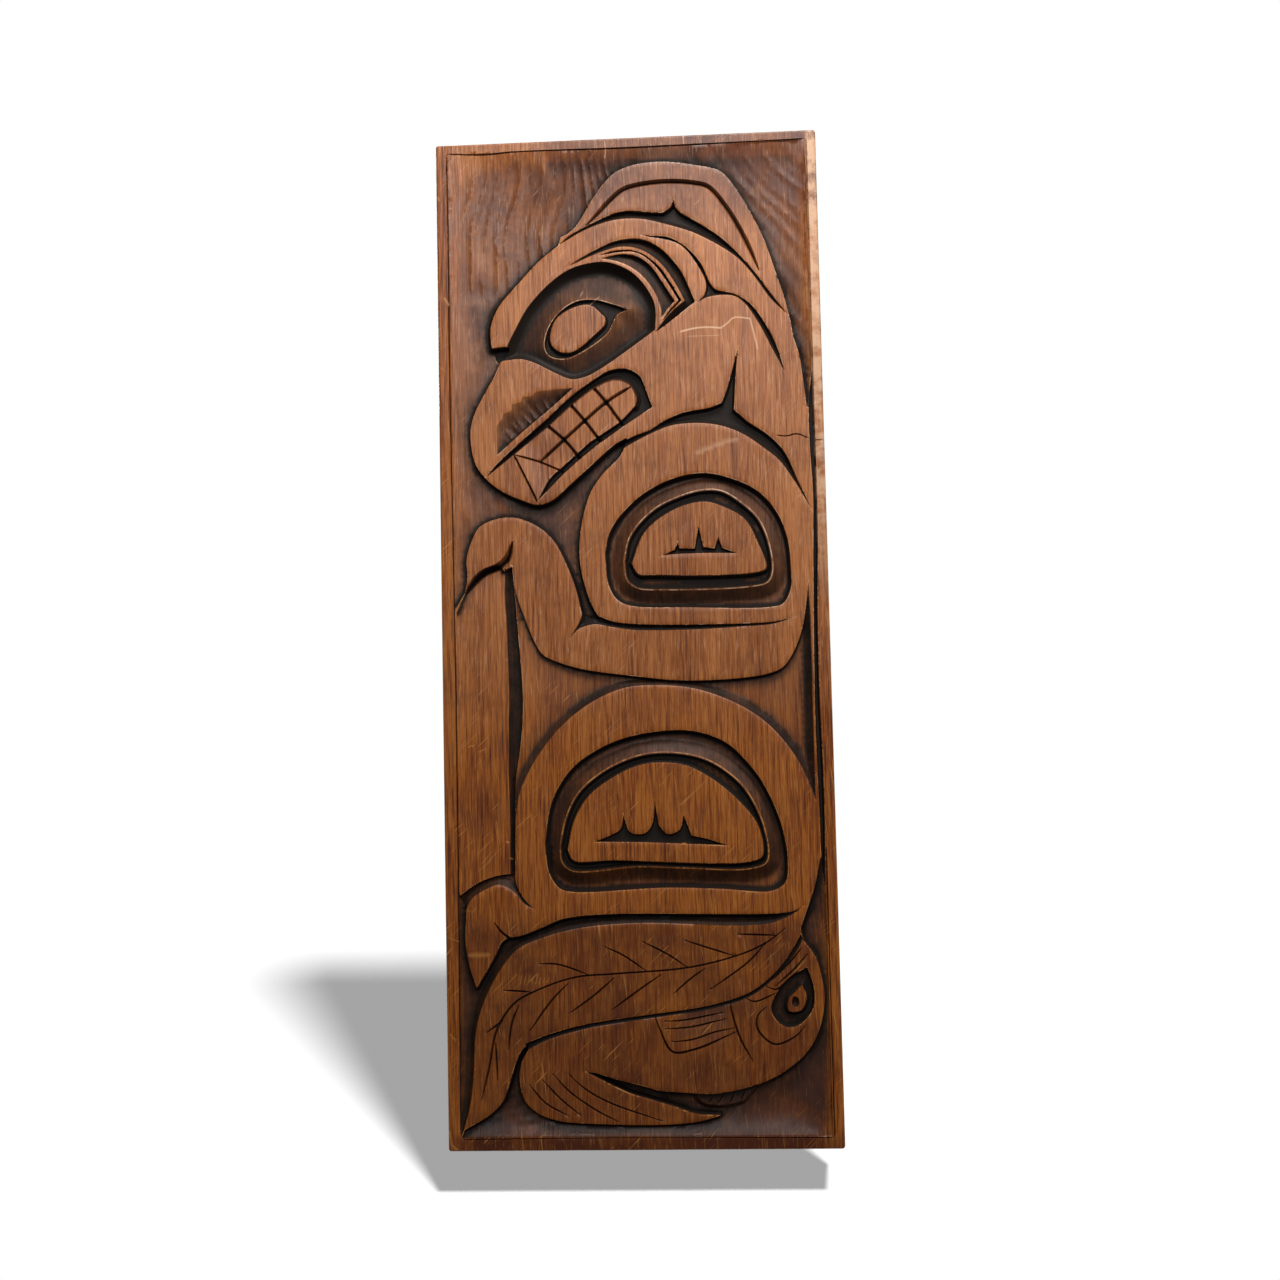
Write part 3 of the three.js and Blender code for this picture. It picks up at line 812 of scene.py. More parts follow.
LOWER_GROUND = Cut(
    edges=(
        Edge(((-133, -363), (-113, -351.5), (-104, -342), (-99, -329), (-94, -314), (-90, -306),
              (-85.5, -301.5))),
        Edge(((-85, -306), (-90, -315), (-91.5, -328), (-88, -342), (-79, -351), (-65, -356.5),
              (-45, -358.8), (15, -360.2), (40, -358),
              (55, -354))),
        Edge(((55, -354), (38, -353), (20, -347), (0, -341), (-10, -338), (-28, -329.5), (-42, -322))),
        Edge(((-42, -322), (-36, -322.5), (-20, -327.5), (0, -332.5), (10, -335.5), (36, -337.8))),
        Edge(((36, -337.8), (50, -338.5), (74, -334.5), (93, -328), (106, -320.5), (118, -310.5),
              (127, -297), (132, -280), (133, -267), (131, -254), (127.5, -241),
              (119, -229))),
        Edge(((119, -229), (117, -220))),
        Edge(((117, -220), (121, -209), (128, -190), (132.5, -170)), Wall.STEEP),
        Edge(((132.5, -170), (136.5, -165)), Wall.LEVEL),
        Edge(((136.5, -165), (136.5, -369.5)), 0.32, 1.0),
        Edge(((136.5, -369.5), (-135, -369)), 0.45, 1.4),
        Edge(((-135, -369), (-133, -363)), Wall.STEEP),
    ),
    floor=8.2,
    gouges=FACETS,
    uneven=0.3,
    tone=1.0,
    shade_and_stain_halo=9.0,
    black=0.25,
)

SMALL_FIN = Boss(
    (Edge(((36, -336), (42, -344.5), (53, -347), (66, -345.5), (73, -343), (76, -339), (86, -330))),
     Edge(((86, -330), (60, -332), (36, -336)))),
    2.6,
)

RIGHT_GROOVE = Cut(
    edges=(
        Edge(((137.6, 196), (135.2, 180), (134, 163), (134, 140), (135.4, 100), (134.4, 60), (133.4, 20),
              (132.6, -20),
              (132.2, -60), (132.5, -100), (133.4, -140), (133.6, -168), (135.6, -194))),
        Edge(((135.6, -194), (136.5, -170), (137.2, -140), (137, -100), (136, -50), (136.2, 0), (136.8, 30),
              (138, 60),
              (138.4, 100), (138.4, 140), (138.2, 165), (137.6, 196)), Wall.STEEP),
    ),
    floor=4.2,
    black=0.9,
)

EAR_CRESCENT = Cut(
    edges=(
        Edge(((-52, 296.5), (-44, 303.5), (-31, 310.5), (-18, 316.5), (-8, 320.3), (0, 321.5), (10, 321),
              (20, 319.5), (28, 319))),
        Edge(((28, 319), (34, 323), (36.5, 329)), Wall.STEEP),
        Edge(((36.5, 329), (38, 323), (42, 318.5), (56, 309.5), (72, 298), (84, 285.8), (95, 272.5),
              (108, 254), (121, 236))),
        Edge(((121, 236), (108, 249.5), (95, 268.5), (84, 281.5), (70, 292), (50, 303), (30, 310),
              (10, 315), (-10, 314.5), (-31, 308),
              (-52, 296.5)), Wall.SLOPING),
    ),
    floor=4.6,
    black=0.9,
)

SOCKET_TOP = ((-97, 209), (-93, 219), (-86, 233), (-76, 250), (-60, 267), (-45, 277.5), (-30, 282),
              (-15, 282.5), (0, 276.5), (8, 270), (15.5, 260), (20.5, 249), (21.3, 240),
              (20.5, 229))
IRIS = ((-17.5, 240), (-26, 248.5), (-32, 250.5), (-46, 246.5), (-56, 238), (-59, 222), (-52, 215),
        (-42, 215), (-26, 227),
        (-18, 235))
EYE_LID = (
    Edge(((0.5, 245.5), (-10, 250), (-25, 254.5), (-40, 253.5), (-54, 244), (-62, 231), (-64, 219),
          (-60, 212), (-48, 209.5), (-36, 214), (-16, 228),
          (-11, 237)), 0.34, 2.0),
    Edge(((-11, 237), (-8, 242), (0.5, 245.5)), 0.34, 2.0),
)
EYE_SOCKET = Cut(
    edges=(
        Edge(SOCKET_TOP, 1.2, shade=1.0),
        Edge(((20.5, 229), (6, 218.5), (-18, 202.5), (-32, 195), (-44, 193.3), (-57, 199), (-72, 207),
              (-82, 210), (-97, 209)),
             1.5),
    ),
    floor=8.6,
    islands=(EYE_LID,),
    round_off=1.6,
    tone=0.8,
    shade_and_stain_halo=4.0,
    black=0.55,
)
BROW_NOTCH = Cut(
    closed(((-104.3, 219.2), (-90.5, 219.2), (-96.5, 208.5), (-100.5, 209)), Wall.SHEER),
    floor=7.4,
    black=1.0,
)

EYE_GROOVE = Cut(
    edges=(
        Edge(EYE_LID[0].points, Wall.STEEP, 2.0, 0.5),
        Edge(EYE_LID[1].points, Wall.STEEP, 2.0, 0.5),
    ),
    floor=5.0,
    islands=(closed(IRIS, 1.6, 1.4),),
    black=0.95,
)
EYE_IRIS = Cut(edges=(Edge(IRIS + (IRIS[0],), 0.0, 1.4),), floor=1.4)

NEST_ONE = Cut(
    edges=(
        Edge(((-46, 279.5), (-33, 287.5), (-20, 294), (-8, 298.6), (4, 300), (14, 298.5), (26, 291.5),
              (40, 275), (48, 257.5),
              (51, 249.5))),
        Edge(((51, 249.5), (40, 241), (28, 232), (20.5, 227))),
        Edge(((20.5, 227), (24, 232.2), (33, 242.5), (43, 250.5)), Wall.SLOPING, 0.2),
        Edge(((43, 250.5), (35, 266), (25, 280.3), (15, 288.5), (5, 292.8), (-5, 293.6), (-20, 290),
              (-46, 279.5)), 0.75, 0.2),
    ),
    floor=5.6,
    black=0.85,
)
NEST_TWO = Cut(
    edges=(
        Edge(((-22, 287.6), (-10, 291), (0, 291.4), (8, 290), (15, 286.2), (25, 277), (35, 261.5),
              (41, 250.7))),
        Edge(((41, 250.7), (33, 243), (24.8, 233.5)), Wall.STEEP),
        Edge(((24.8, 233.5), (31, 243.2), (38.4, 250.8)), Wall.STEEP),
        Edge(((38.4, 250.8), (30, 265.5), (21, 278.5), (12, 286.5), (4, 289.6), (-6, 289.6), (-22, 287.6)),
             Wall.STEEP),
    ),
    floor=3.4,
    black=0.8,
)
NEST_THREE = Cut(
    edges=(
        Edge(((-20, 285.2), (-5, 288.2), (5, 287.3), (13, 283.2), (20, 276), (28, 263.5), (35.8, 250.5))),
        Edge(((35.8, 250.5), (30, 244.4), (25.2, 237.5)), Wall.STEEP),
        Edge(((25.2, 237.5), (25, 244), (22.5, 253), (17, 263.5), (9, 273), (0, 279.3), (-10, 283.3),
              (-20, 285.2)), 0.5, 0.2),
    ),
    floor=5.6,
    black=0.8,
)

LOBE = Cut(
    edges=(
        Edge(((12, 302), (22, 301.3), (32, 300), (45, 292), (56, 279), (63, 263), (67, 258.3), (80, 254.7),
              (92, 247),
              (105, 228), (113, 209), (117, 193)), Wall.STEEP),
        Edge(((117, 193), (106.5, 214.5), (99, 230), (88, 247), (80, 252.7), (62, 252.8), (52.5, 248.5)),
             Wall.SLOPING),
        Edge(((52.5, 248.8), (58, 254.5), (59.5, 263), (53, 278), (40, 294), (12, 302)), Wall.STEEP),
    ),
    floor=4.0,
    black=0.9,
)

LIP_UPPER = ((-110, 120.5), (-103, 129), (-85, 145.5), (-65, 162), (-45, 180), (-30, 190.5), (-15, 199),
             (-2, 200), (8, 194), (12.5, 183),
             (17, 170))
LIP_LOWER = ((17, 170), (-4, 156.5), (-26, 141.5), (-50, 122), (-71, 101))
TEETH_LOWER = ((-71, 101), (-62, 118), (-52, 127), (-31, 145), (-8, 160), (4, 172))
TEETH_UPPER = ((4, 172), (5, 178), (-1, 189), (-12, 192), (-27, 186), (-45, 173), (-62, 158), (-88, 137.5),
               (-110, 120.5))
MOUTH = Cut(
    edges=(
        Edge(LIP_UPPER),
        Edge(LIP_LOWER, Wall.STEEP),
        Edge(TEETH_LOWER, Wall.STEEP, 1.6),
        Edge(TEETH_UPPER, 1.4, 1.0),
    ),
    floor=5.8,
    black=0.9,
)
TEETH = Cut(
    edges=(
        Edge(((-110, 120.5), (-88, 137.5), (-62, 158), (-45, 173), (-27, 186), (-12, 192), (-1, 189),
              (5, 178), (4, 172)),
             Wall.LEVEL),
        Edge(((4, 172), (-8, 160), (-31, 145), (-52, 127), (-62, 118), (-71, 101)), Wall.LEVEL),
        Edge(((-71, 101), (-79, 118), (-88, 137)), 0.3),
    ),
    floor=1.9,
)
SCOOP = Cut(
    edges=(
        Edge(((-101, 137), (-101.5, 150), (-101, 160), (-97.5, 164.5), (-96, 168.5), (-90.5, 171),
              (-89.5, 175.5), (-83, 177.5), (-81.5, 181), (-74, 182), (-71.5, 184.5), (-60, 186),
              (-42, 187)), 0.45),
        Edge(((-42, 187), (-58, 173), (-80, 155.5), (-101, 137)), 1.8),
    ),
    floor=3.1,
    gouges=(Gouge(6.2, 60.0, 1.7, -20.0, (-120, -20, 115, 210), 11),),
    tone=1.0,
    shade_and_stain_halo=8.0,
    black=0.4,
)

SHOULDER_CUT = Cut(
    edges=(
        Edge(((-6, 144.5), (4, 149), (15, 152.8), (25, 159), (40, 165), (60, 168.2), (69, 171.5)),
             Wall.STEEP),
        Edge(((69, 171.5), (73, 181), (76, 191), (82.7, 214.5)), Wall.STEEP),
        Edge(((82.7, 214.5), (80, 190), (78.4, 166)), Wall.STEEP),
        Edge(((78.4, 166), (88, 157), (104, 145.5), (115, 133), (125, 110), (135.5, 86)), Wall.STEEP),
        Edge(((135.5, 86), (122, 110), (111, 126.5), (100, 136), (84, 147.5), (68, 154), (52, 156.5),
              (32, 155.5), (16, 150),
              (-5, 139.5)), Wall.SLOPING),
        Edge(((-5, 139.5), (-6, 144.5)), Wall.LEVEL),
    ),
    floor=5.0,
    black=0.9,
)
ARM_CUT = Cut(
    edges=(
        Edge(((-38.5, 17), (-41, 10), (-45, 3), (-50, -5)), Wall.SLOPING),
        Edge(((-50, -5), (-42, 3.5), (-30, 7), (-18, 4.8), (0, 2), (40, 1.2), (75, 2.3), (105, 4.3),
              (120, 9.5)), Wall.SLOPING),
        Edge(((120, 9.5), (105, 6), (80, 5), (40, 5.2), (5, 6.4), (-15, 8.7), (-24, 12)), Wall.STEEP),
        Edge(((-24, 12), (-38.5, 17)), Wall.LEVEL),
    ),
    floor=3.8,
    black=0.9,
)

SHOULDER_WELL = ((-21, 60), (-19, 37), (-12.5, 25), (-2, 20.2), (40, 18), (100, 16.5), (111, 19), (117, 30),
                 (117.5, 45),
                 (115.5, 68), (108, 88), (95, 103.5), (80, 112), (56, 118.7), (32, 115.5), (8, 104),
                 (-11, 86), (-18, 74))
SHOULDER_RIM = ((-7, 54), (-5, 40), (3, 33.5), (20, 31.8), (85, 32.3), (100, 35.5), (104, 44), (101, 68),
                (94, 84), (82, 96), (68, 105), (56, 106.5), (40, 103.5), (16, 92.5),
                (-2, 73))
SHOULDER_ISLAND = ((-1, 52), (4, 43.8), (15, 43), (60, 41.5), (95, 43.5), (99, 46), (93, 66), (84, 83),
                   (70, 92), (54, 97), (30, 91),
                   (9, 75))
HAUNCH_WELL = ((-70, -155), (-67.5, -176), (-60, -188), (-50, -191), (20, -189), (60, -190.5), (97, -192.5),
               (107, -186.5),
               (109.3, -172), (105.5, -145), (95, -118), (84, -101), (66, -83), (42, -74), (12, -74),
               (-18, -81),
               (-44, -95.5), (-57, -110), (-65.5, -128))
HAUNCH_RIM = ((-59, -157), (-57.5, -169), (-50, -175.5), (0, -173.3), (35, -175), (82, -176), (94, -171),
              (92.5, -145),
              (80, -118), (66, -104), (50, -94.5), (32, -90), (10, -89.5), (-10, -94.5), (-30, -105),
              (-45, -118.5),
              (-54, -136))
HAUNCH_ISLAND = ((-53, -160), (-49, -167.8), (-20, -168), (50, -171.5), (80, -171), (90.5, -167),
                 (88, -145), (72, -124), (50, -106.5), (34, -99), (15, -97), (-3, -100), (-22, -109.5),
                 (-37, -121), (-48, -139))


def ovoid(well: tuple, rim: tuple, island: tuple) -> tuple:
    """A joint of the bear: a well that rises to a thin rim, a groove, and the island in it.

    Args:
        well: the outermost outline.
        rim: the outer edge of the thin rim.
        island: the outline of the middle.

    Returns:
        The cuts that make it.
    """
    return (
        Cut(closed(well, 2.9), 6.8, (closed(rim, 0.62, 1.1, shade=0.5),), 1.0, tone=0.6, shade_and_stain_halo=3.5),
        Cut(closed(rim, 2.4, 1.1, 1.3), 5.2, (closed(island, 1.9, 0.2),), black=0.5),
        Cut(closed(rim, Wall.LEVEL, 1.1), 1.1, (closed(island, Wall.LEVEL),)),
    )


def slit(*runs: tuple) -> Cut:
    """A small pointed cut with V walls.

    Args:
        runs: the stretches of its outline, in order.

    Returns:
        The cut.
    """
    return Cut(tuple(Edge(run, Wall.STEEP) for run in runs), 3.2, black=0.95)


SHOULDER_SLIT = slit(
    ((21, 57), (30, 58), (60, 58.2), (78, 57.4)), ((78, 57.4), (67, 62)), ((67, 62), (64, 70.5)),
    ((64, 70.5), (61, 61.7)),
    ((61, 61.7), (53, 63)), ((53, 63), (49.5, 79)), ((49.5, 79), (46, 62)), ((46, 62), (35, 62.5)),
    ((35, 62.5), (33.7, 67)),
    ((33.7, 67), (31, 61.5)), ((31, 61.5), (21, 57)),
)
HAUNCH_SLIT = slit(
    ((-34, -154.5), (0, -155.3), (66, -158.8)), ((66, -158.8), (52, -154), (39, -151)), ((39, -151),
                                                                                         (33.2, -135.5)),
    ((33.2, -135.5), (30.5, -146), (24, -149.5), (20, -149), (15, -143)), ((15, -143), (12.3, -124.5)),
    ((12.3, -124.5), (9.5, -143), (4, -148.8), (-5, -148.5), (-8, -146)), ((-8, -146), (-11.3, -134.5)),
    ((-11.3, -134.5), (-13.5, -145), (-20, -149.2), (-34, -154.5)),
)

FISH_SOCKET = ((121, -248), (125.5, -262), (125, -277), (116, -288.5), (106, -291.5), (97, -285.5),
               (94, -277), (100, -264),
               (110, -254))
FISH_IRIS = ((117, -261), (120, -270), (116, -279), (107, -279.5), (107, -271), (112, -266))
FISH_EYE = Cut(closed(FISH_SOCKET, Wall.STEEP), 4.6, (closed(FISH_IRIS, 1.3, 1.2),), black=0.7)
FISH_PUPIL = Cut(closed(((110.8, -269), (113.6, -270), (114.6, -274), (112.6, -277), (109.8, -275.5),
                         (109.4, -272)), 1.2, 1.2),
                 2.4)
FISH_FLANK = Cut(
    edges=(
        Edge(((8.5, -281), (40, -277.5), (65, -271)), 0.5, 0.3),
        Edge(((65, -271), (71, -299), (80.5, -316.5)), 0.4),
        Edge(((80.5, -316.5), (50, -317), (21, -311), (12, -300), (8.5, -281)), 0.12),
    ),
    floor=1.6,
    tone=0.7,
)

BORDER_LINE = (
    Stroke(((-137.2, 371.5), (-110, 370), (-85, 371), (0, 370.6), (137.8, 371.6)), 1.2, 1.0, 0.02),
    Stroke(((138, 371.6), (137.8, 166)), 1.2, 1.0, 0.02),
    Stroke(((-136.8, 371.5), (-136.3, 300), (-136.6, 200), (-135.6, 60), (-135, -100), (-135.8, -369.5)),
           1.4, 1.2, 0.02),
    Stroke(((137.4, -160), (137.6, -370.4)), 1.2, 1.0, 0.02),
    Stroke(((-135.8, -369.8), (0, -369.6), (137.6, -370.4)), 1.2, 1.0, 0.02),
)

EAR_LINE = Stroke(
    ((-31, 311), (-22, 319.5), (-12, 330), (-2, 338), (8, 341), (30, 343), (52, 341), (63, 337.5),
     (75, 323), (86, 304), (95, 284),
     (100, 271)), 4.2, 3.2, 0.12)
FINE = (2.0, 1.7)
TOOTH = (3.2, 2.6)
CRACK = (
    Stroke(((109, 145.2), (118, 144.8), (123, 146), (127, 145.5), (131, 143.5), (134.5, 142.3)),
           1.3, 1.2, 0.3),
    Stroke(((138.6, 141.2), (145.5, 140.4)), 1.2, 1.4, 0.3, False, True),
)
STROKES = (
    *CRACK,
    CLAW_GROOVE,
    EAR_LINE,
    Stroke(((-69, 131), (-43, 154), (-18, 175), (1, 186.5)), *TOOTH, 0.08),
    Stroke(((-62, 158), (-50, 147), (-39, 133.5)), *TOOTH, 0.1, True, True),
    Stroke(((-44, 173), (-35, 162), (-24, 147)), *TOOTH, 0.1, True, True),
    Stroke(((-26, 185), (-18, 175), (-7, 159)), *TOOTH, 0.1, True, True),
    Stroke(((-88, 137), (-70, 131.5), (-50, 122.5)), 2.0, 1.8, 0.15),
    Stroke(((-89, 138), (-79, 117), (-71, 100)), 2.2, 2.2, 0.1),
    Stroke(((-109, -212), (-103, -220), (-97, -224.5)), 2.6, 3.0, 0.6, False, True),
    Stroke(((107, -219), (90, -231), (69, -239.5), (33, -247.5), (-20, -251.2), (-50, -253.5),
            (-80, -263.5), (-95, -272), (-108, -291), (-114.5, -320),
            (-120.5, -343)), 2.0, 1.7, 0.08),
    Stroke(((70, -223.5), (100, -224.8)), *FINE),
    Stroke(((31, -227), (50, -233.5), (69, -239.5)), *FINE),
    Stroke(((0, -227.5), (20, -238), (34, -247.5)), *FINE),
    Stroke(((-28, -231), (-15, -237), (4, -249.8)), *FINE),
    Stroke(((-77, -243), (-62, -243.8), (-38, -252)), *FINE),
    Stroke(((-103, -262), (-82, -263.5)), *FINE),
    Stroke(((-116, -293), (-103, -284)), *FINE),
    Stroke(((92, -229.5), (78, -244), (49, -264)), *FINE),
    Stroke(((47, -247.5), (35, -256), (22, -267)), *FINE),
    Stroke(((15, -251.5), (0, -261.5), (-23, -277.5)), *FINE),
    Stroke(((-20, -253.5), (-36, -267), (-55, -280)), *FINE),
    Stroke(((-53, -256), (-67, -270), (-84, -292.5)), *FINE),
    Stroke(((-91, -272), (-97, -287), (-99.5, -306)), *FINE),
    Stroke(((-109, -299), (-108, -328)), *FINE),
    Stroke(((-85, -330), (-73, -344), (-55, -354)), *FINE),
    Stroke(((-75, -327), (-62, -341), (-46, -354)), *FINE),
    Stroke(((-68, -322), (-55, -336), (-35, -350), (-16, -359.5)), *FINE),
    Stroke(((-57, -322), (-43, -334.5), (-25, -344.5), (15, -358.5)), *FINE),
    Stroke(((65, -271), (64.5, -275), (71, -299), (80.5, -316.5)), 2.0, 2.0),
    Stroke(((8.5, -281), (12, -291), (21, -308), (38, -306.5), (69.5, -293.5)), 2.6, 2.2),
    Stroke(((15, -286), (30, -285.5), (60, -280)), *FINE),
    Stroke(((15, -291.5), (35, -290.5), (62, -284.5)), *FINE),
    Stroke(((20, -301), (36, -299.5), (52, -294.5), (68, -291)), *FINE),
    Stroke(((118, -233), (110, -243), (93, -259)), *FINE),
    Stroke(((122, -238), (112, -249), (97, -262)), *FINE),
    Stroke(((90, -261), (98, -264), (106, -258), (115, -250)), *FINE),
    Stroke(((75, -269.5), (82, -272.5), (98, -266.5)), *FINE),
    Stroke(((92, -275), (84, -283), (84, -293), (96, -303.5), (111, -298), (119, -289.5)), 2.4, 1.8),
    Stroke(((50, -341), (46, -346)), 1.2, 1.0),
    Stroke(((58, -339), (53, -346.5)), 1.2, 1.0),
    Stroke(((66, -338), (62, -345.5)), 1.2, 1.0),
    Stroke(((74, -336), (70, -343.5)), 1.2, 1.0),
)

TAIL_EDGE = Cut(
    edges=(
        Edge(((117, -224), (112, -233), (100, -249), (80, -265), (50, -274.5), (0, -281.5), (-40, -287),
              (-70, -294.5),
              (-87, -301)), 2.6),
        Edge(((-87, -301), (-86, -306)), Wall.LEVEL),
        Edge(((-86, -306), (-70, -298.5), (-40, -290.5), (0, -284.6), (50, -277.6), (80, -268.4),
              (101, -252), (114, -236),
              (118.5, -228)), Wall.SLOPING),
        Edge(((118.5, -228), (117, -224)), Wall.LEVEL),
    ),
    floor=3.6,
    black=0.5,
)

MARKS = (
    Mark(((40, 227), (50, 229), (60, 229.5), (70, 228.5)), 1.6, 1.0),
    Mark(((70, 228.5), (75, 232), (80, 236), (92, 235)), 1.3, 0.9),
    Mark(((92, 235), (95, 222), (97, 212)), 1.6, 0.7),
    Mark(((46, 223), (68, 223)), 0.9, 0.4),
    Mark(((50, 134), (65, 139.5), (80, 144)), 0.7, 0.35),
    Mark(((-28, 252), (-22, 256)), 0.9, 0.5),
    Mark(((-15, 378), (-14.5, 370), (-15, 364)), 0.9, 0.6),
    Mark(((45, 378), (45.2, 372)), 0.8, 0.5),
    Mark(((-98.6, -153.2), (-97.4, -153.8)), 1.8, 1.0),
    Mark(((-95.8, -165.5), (-95.2, -166)), 1.2, 0.6),
    Mark(((32.6, -157), (33.4, -157)), 1.4, 0.9),
    Mark(((-35.5, 259), (-34.6, 260.5)), 1.0, 0.5),
    Mark(((-126, -82), (-124, -81.5)), 1.0, 0.6),
    Mark(((-116, -85), (-114, -84)), 1.0, 0.5),
    Mark(((-126, -203.6), (-131, -203.9)), 0.8, 0.4),
    Mark(((-140, -224), (-135.5, -226)), 0.9, 0.5),
    Mark(((-128, -236.2), (-113, -236)), 0.7, 0.45),
    Mark(((-143.5, 338), (-142.5, 335.5)), 1.6, 0.5),
    Mark(((-139.5, 259), (-136.5, 254)), 1.8, 0.6),
    Mark(((-143, 206), (-141.5, 204)), 1.2, 0.4),
    Mark(((-142, -294), (-140.5, -296)), 1.3, 0.5),
    Mark(((-144, -364), (-142, -374), (-138.5, -377)), 2.2, 0.5),
    *(
        Mark(((-90 + 2.9 * k, -257.5 + 0.3 * k), (-89 + 2.9 * k, -252.5 - 0.2 * k)), 0.8, 0.45)
        for k in range(8)
    ),
)

CUTS = (
    UPPER_GROUND, SLAB, SIDE_GROOVE, BELLY, FOOT_BEVEL, FOOT_GROUND, LOWER_GROUND, RIGHT_GROOVE,
    EAR_CRESCENT, EYE_SOCKET, EYE_GROOVE, EYE_IRIS, BROW_NOTCH, NEST_ONE, NEST_TWO, NEST_THREE,
    LOBE, MOUTH, TEETH, SCOOP, SHOULDER_CUT, ARM_CUT, *ovoid(SHOULDER_WELL, SHOULDER_RIM,
    SHOULDER_ISLAND
), *ovoid(HAUNCH_WELL, HAUNCH_RIM, HAUNCH_ISLAND),
    SHOULDER_SLIT, HAUNCH_SLIT, FISH_EYE, FISH_PUPIL, FISH_FLANK, TAIL_EDGE,
)


# the panel's mesh


@dataclass
class Relief:
    """The carved front: where its mesh points lie, and how deep each is.

    Args:
        cuts: the areas taken down.
        strokes: the lines cut with a V tool.
        bosses: the shapes left standing in the cuts.
        marks: the worn marks in the varnish.
        spacing: between mesh points along an edge, in mm.
        gap: the least distance between two mesh points along edges, in mm.
        clear: the least distance of the even mesh points from those, in mm.
        grid: between the even mesh points, in mm.
        most: the largest number of mesh points.
        margin: the width along the plank's outline that takes no edges, in mm.
        insets: how far inside the outline its shape is followed again, in mm.
    """

    cuts: tuple = CUTS
    strokes: tuple = STROKES + BORDER_LINE
    bosses: tuple = (SMALL_FIN,)
    marks: tuple = MARKS
    spacing: float = 1.3
    gap: float = 0.46
    clear: float = 1.5
    grid: float = 3.1
    most: int = 93000
    margin: float = 2.2
    insets: tuple = (0.35, 0.9, 1.7)

    def points(self, outline: np.ndarray) -> np.ndarray:
        """Chooses the mesh points inside the plank's outline.

        Args:
            outline: the plank's outline as an array of points.

        Returns:
            An array of points, the outline's own points first.
        """
        half = np.abs(outline).max(0)
        inner = half - self.margin
        taken = {}
        kept = []

        def offer(points: np.ndarray, gap: float) -> None:
            """Keeps the points that lie at least the gap from all those kept."""
            cell = self.gap
            reach = int(math.ceil(gap / cell))
            for x, z in points:
                i, j = int(x // cell), int(z // cell)
                near = any(
                    (p := taken.get((i + di, j + dj))) is not None
                    and (p[0] - x) ** 2 + (p[1] - z) ** 2 < gap * gap
                    for di in range(-reach, reach + 1)
                    for dj in range(-reach, reach + 1)
                )
                if not near:
                    taken[(i, j)] = (x, z)
                    kept.append((x, z))

        for x, z in outline:
            taken[(int(x // self.gap), int(z // self.gap))] = (x, z)
            kept.append((x, z))
        for inset in self.insets:
            offer(outline * (1 - inset / half), 0.3)
        rows = [row for part in self.strokes + self.cuts + self.marks for row in part.rows(self.spacing)]
        for row in rows:
            offer(row[(np.abs(row) < inner).all(1)], self.gap)
        log.info("points along edges: %d", len(kept))
        across = np.arange(-half[0] + 3, half[0] - 2, self.grid)
        for k, z in enumerate(np.arange(-half[1] + 3, half[1] - 2, self.grid * 0.866)):
            shifted = across + (k % 2) * self.grid / 2
            row = np.stack([shifted, np.full_like(shifted, z)], 1)
            offer(row[row[:, 0] < half[0] - 2], self.clear)
        log.info("points in all: %d", len(kept))
        return np.array(kept)

    def refine(self, points: np.ndarray, border: list) -> tuple:
        """Adds points where the mesh would stray from the carved surface.

        Args:
            points: the points chosen so far.
            border: the numbers of the points on the plank's outline.

        Returns:
            The points, the triangles between them, and the carved surface at them.
        """
        inner = np.abs(points[border]).max(0) - self.margin
        for round_left in (2, 1, 0):
            verts, _, faces, *_ = delaunay_2d_cdt([Vector(p) for p in points], [], [border], 1, 1e-5)
            at = np.array([tuple(v) for v in verts])
            carved = self.carve(at)
            if not round_left:
                return at, faces, carved
            tri = np.array([tuple(f) for f in faces])
            pairs = np.sort(np.vstack([tri[:, :2], tri[:, 1:], tri[:, ::2]]), axis=1)
            pairs = np.unique(pairs, axis=0)
            ends = at[pairs]
            length = np.hypot(*(ends[:, 0] - ends[:, 1]).T)
            pairs = pairs[(length > 0.75) & (np.abs(ends).max(1) < inner).all(1)]
            middles = at[pairs].mean(1)
            strayed = np.abs(self.carve(middles).depth - carved.depth[pairs].mean(1))
            room = (self.most - len(at)) // round_left
            worst = np.argsort(-strayed)[:room]
            worst = worst[strayed[worst] > 0.02]
            log.info("round %d: %d points, %d added", 3 - round_left, len(at), len(worst))
            points = np.vstack([at, middles[worst]])

    def carve(self, at: np.ndarray) -> Surface:
        """Works out the carved surface.

        Args:
            at: the mesh points.

        Returns:
            The Surface at them.
        """
        surface = Surface(at)
        for part in self.cuts + self.bosses + self.strokes:
            part.carve(surface)
        surface.depth += 0.08 * (1 + cloud(at, 14.0, 21)) + 0.12 * (1 + cloud(at, 47.0, 22))
        return surface


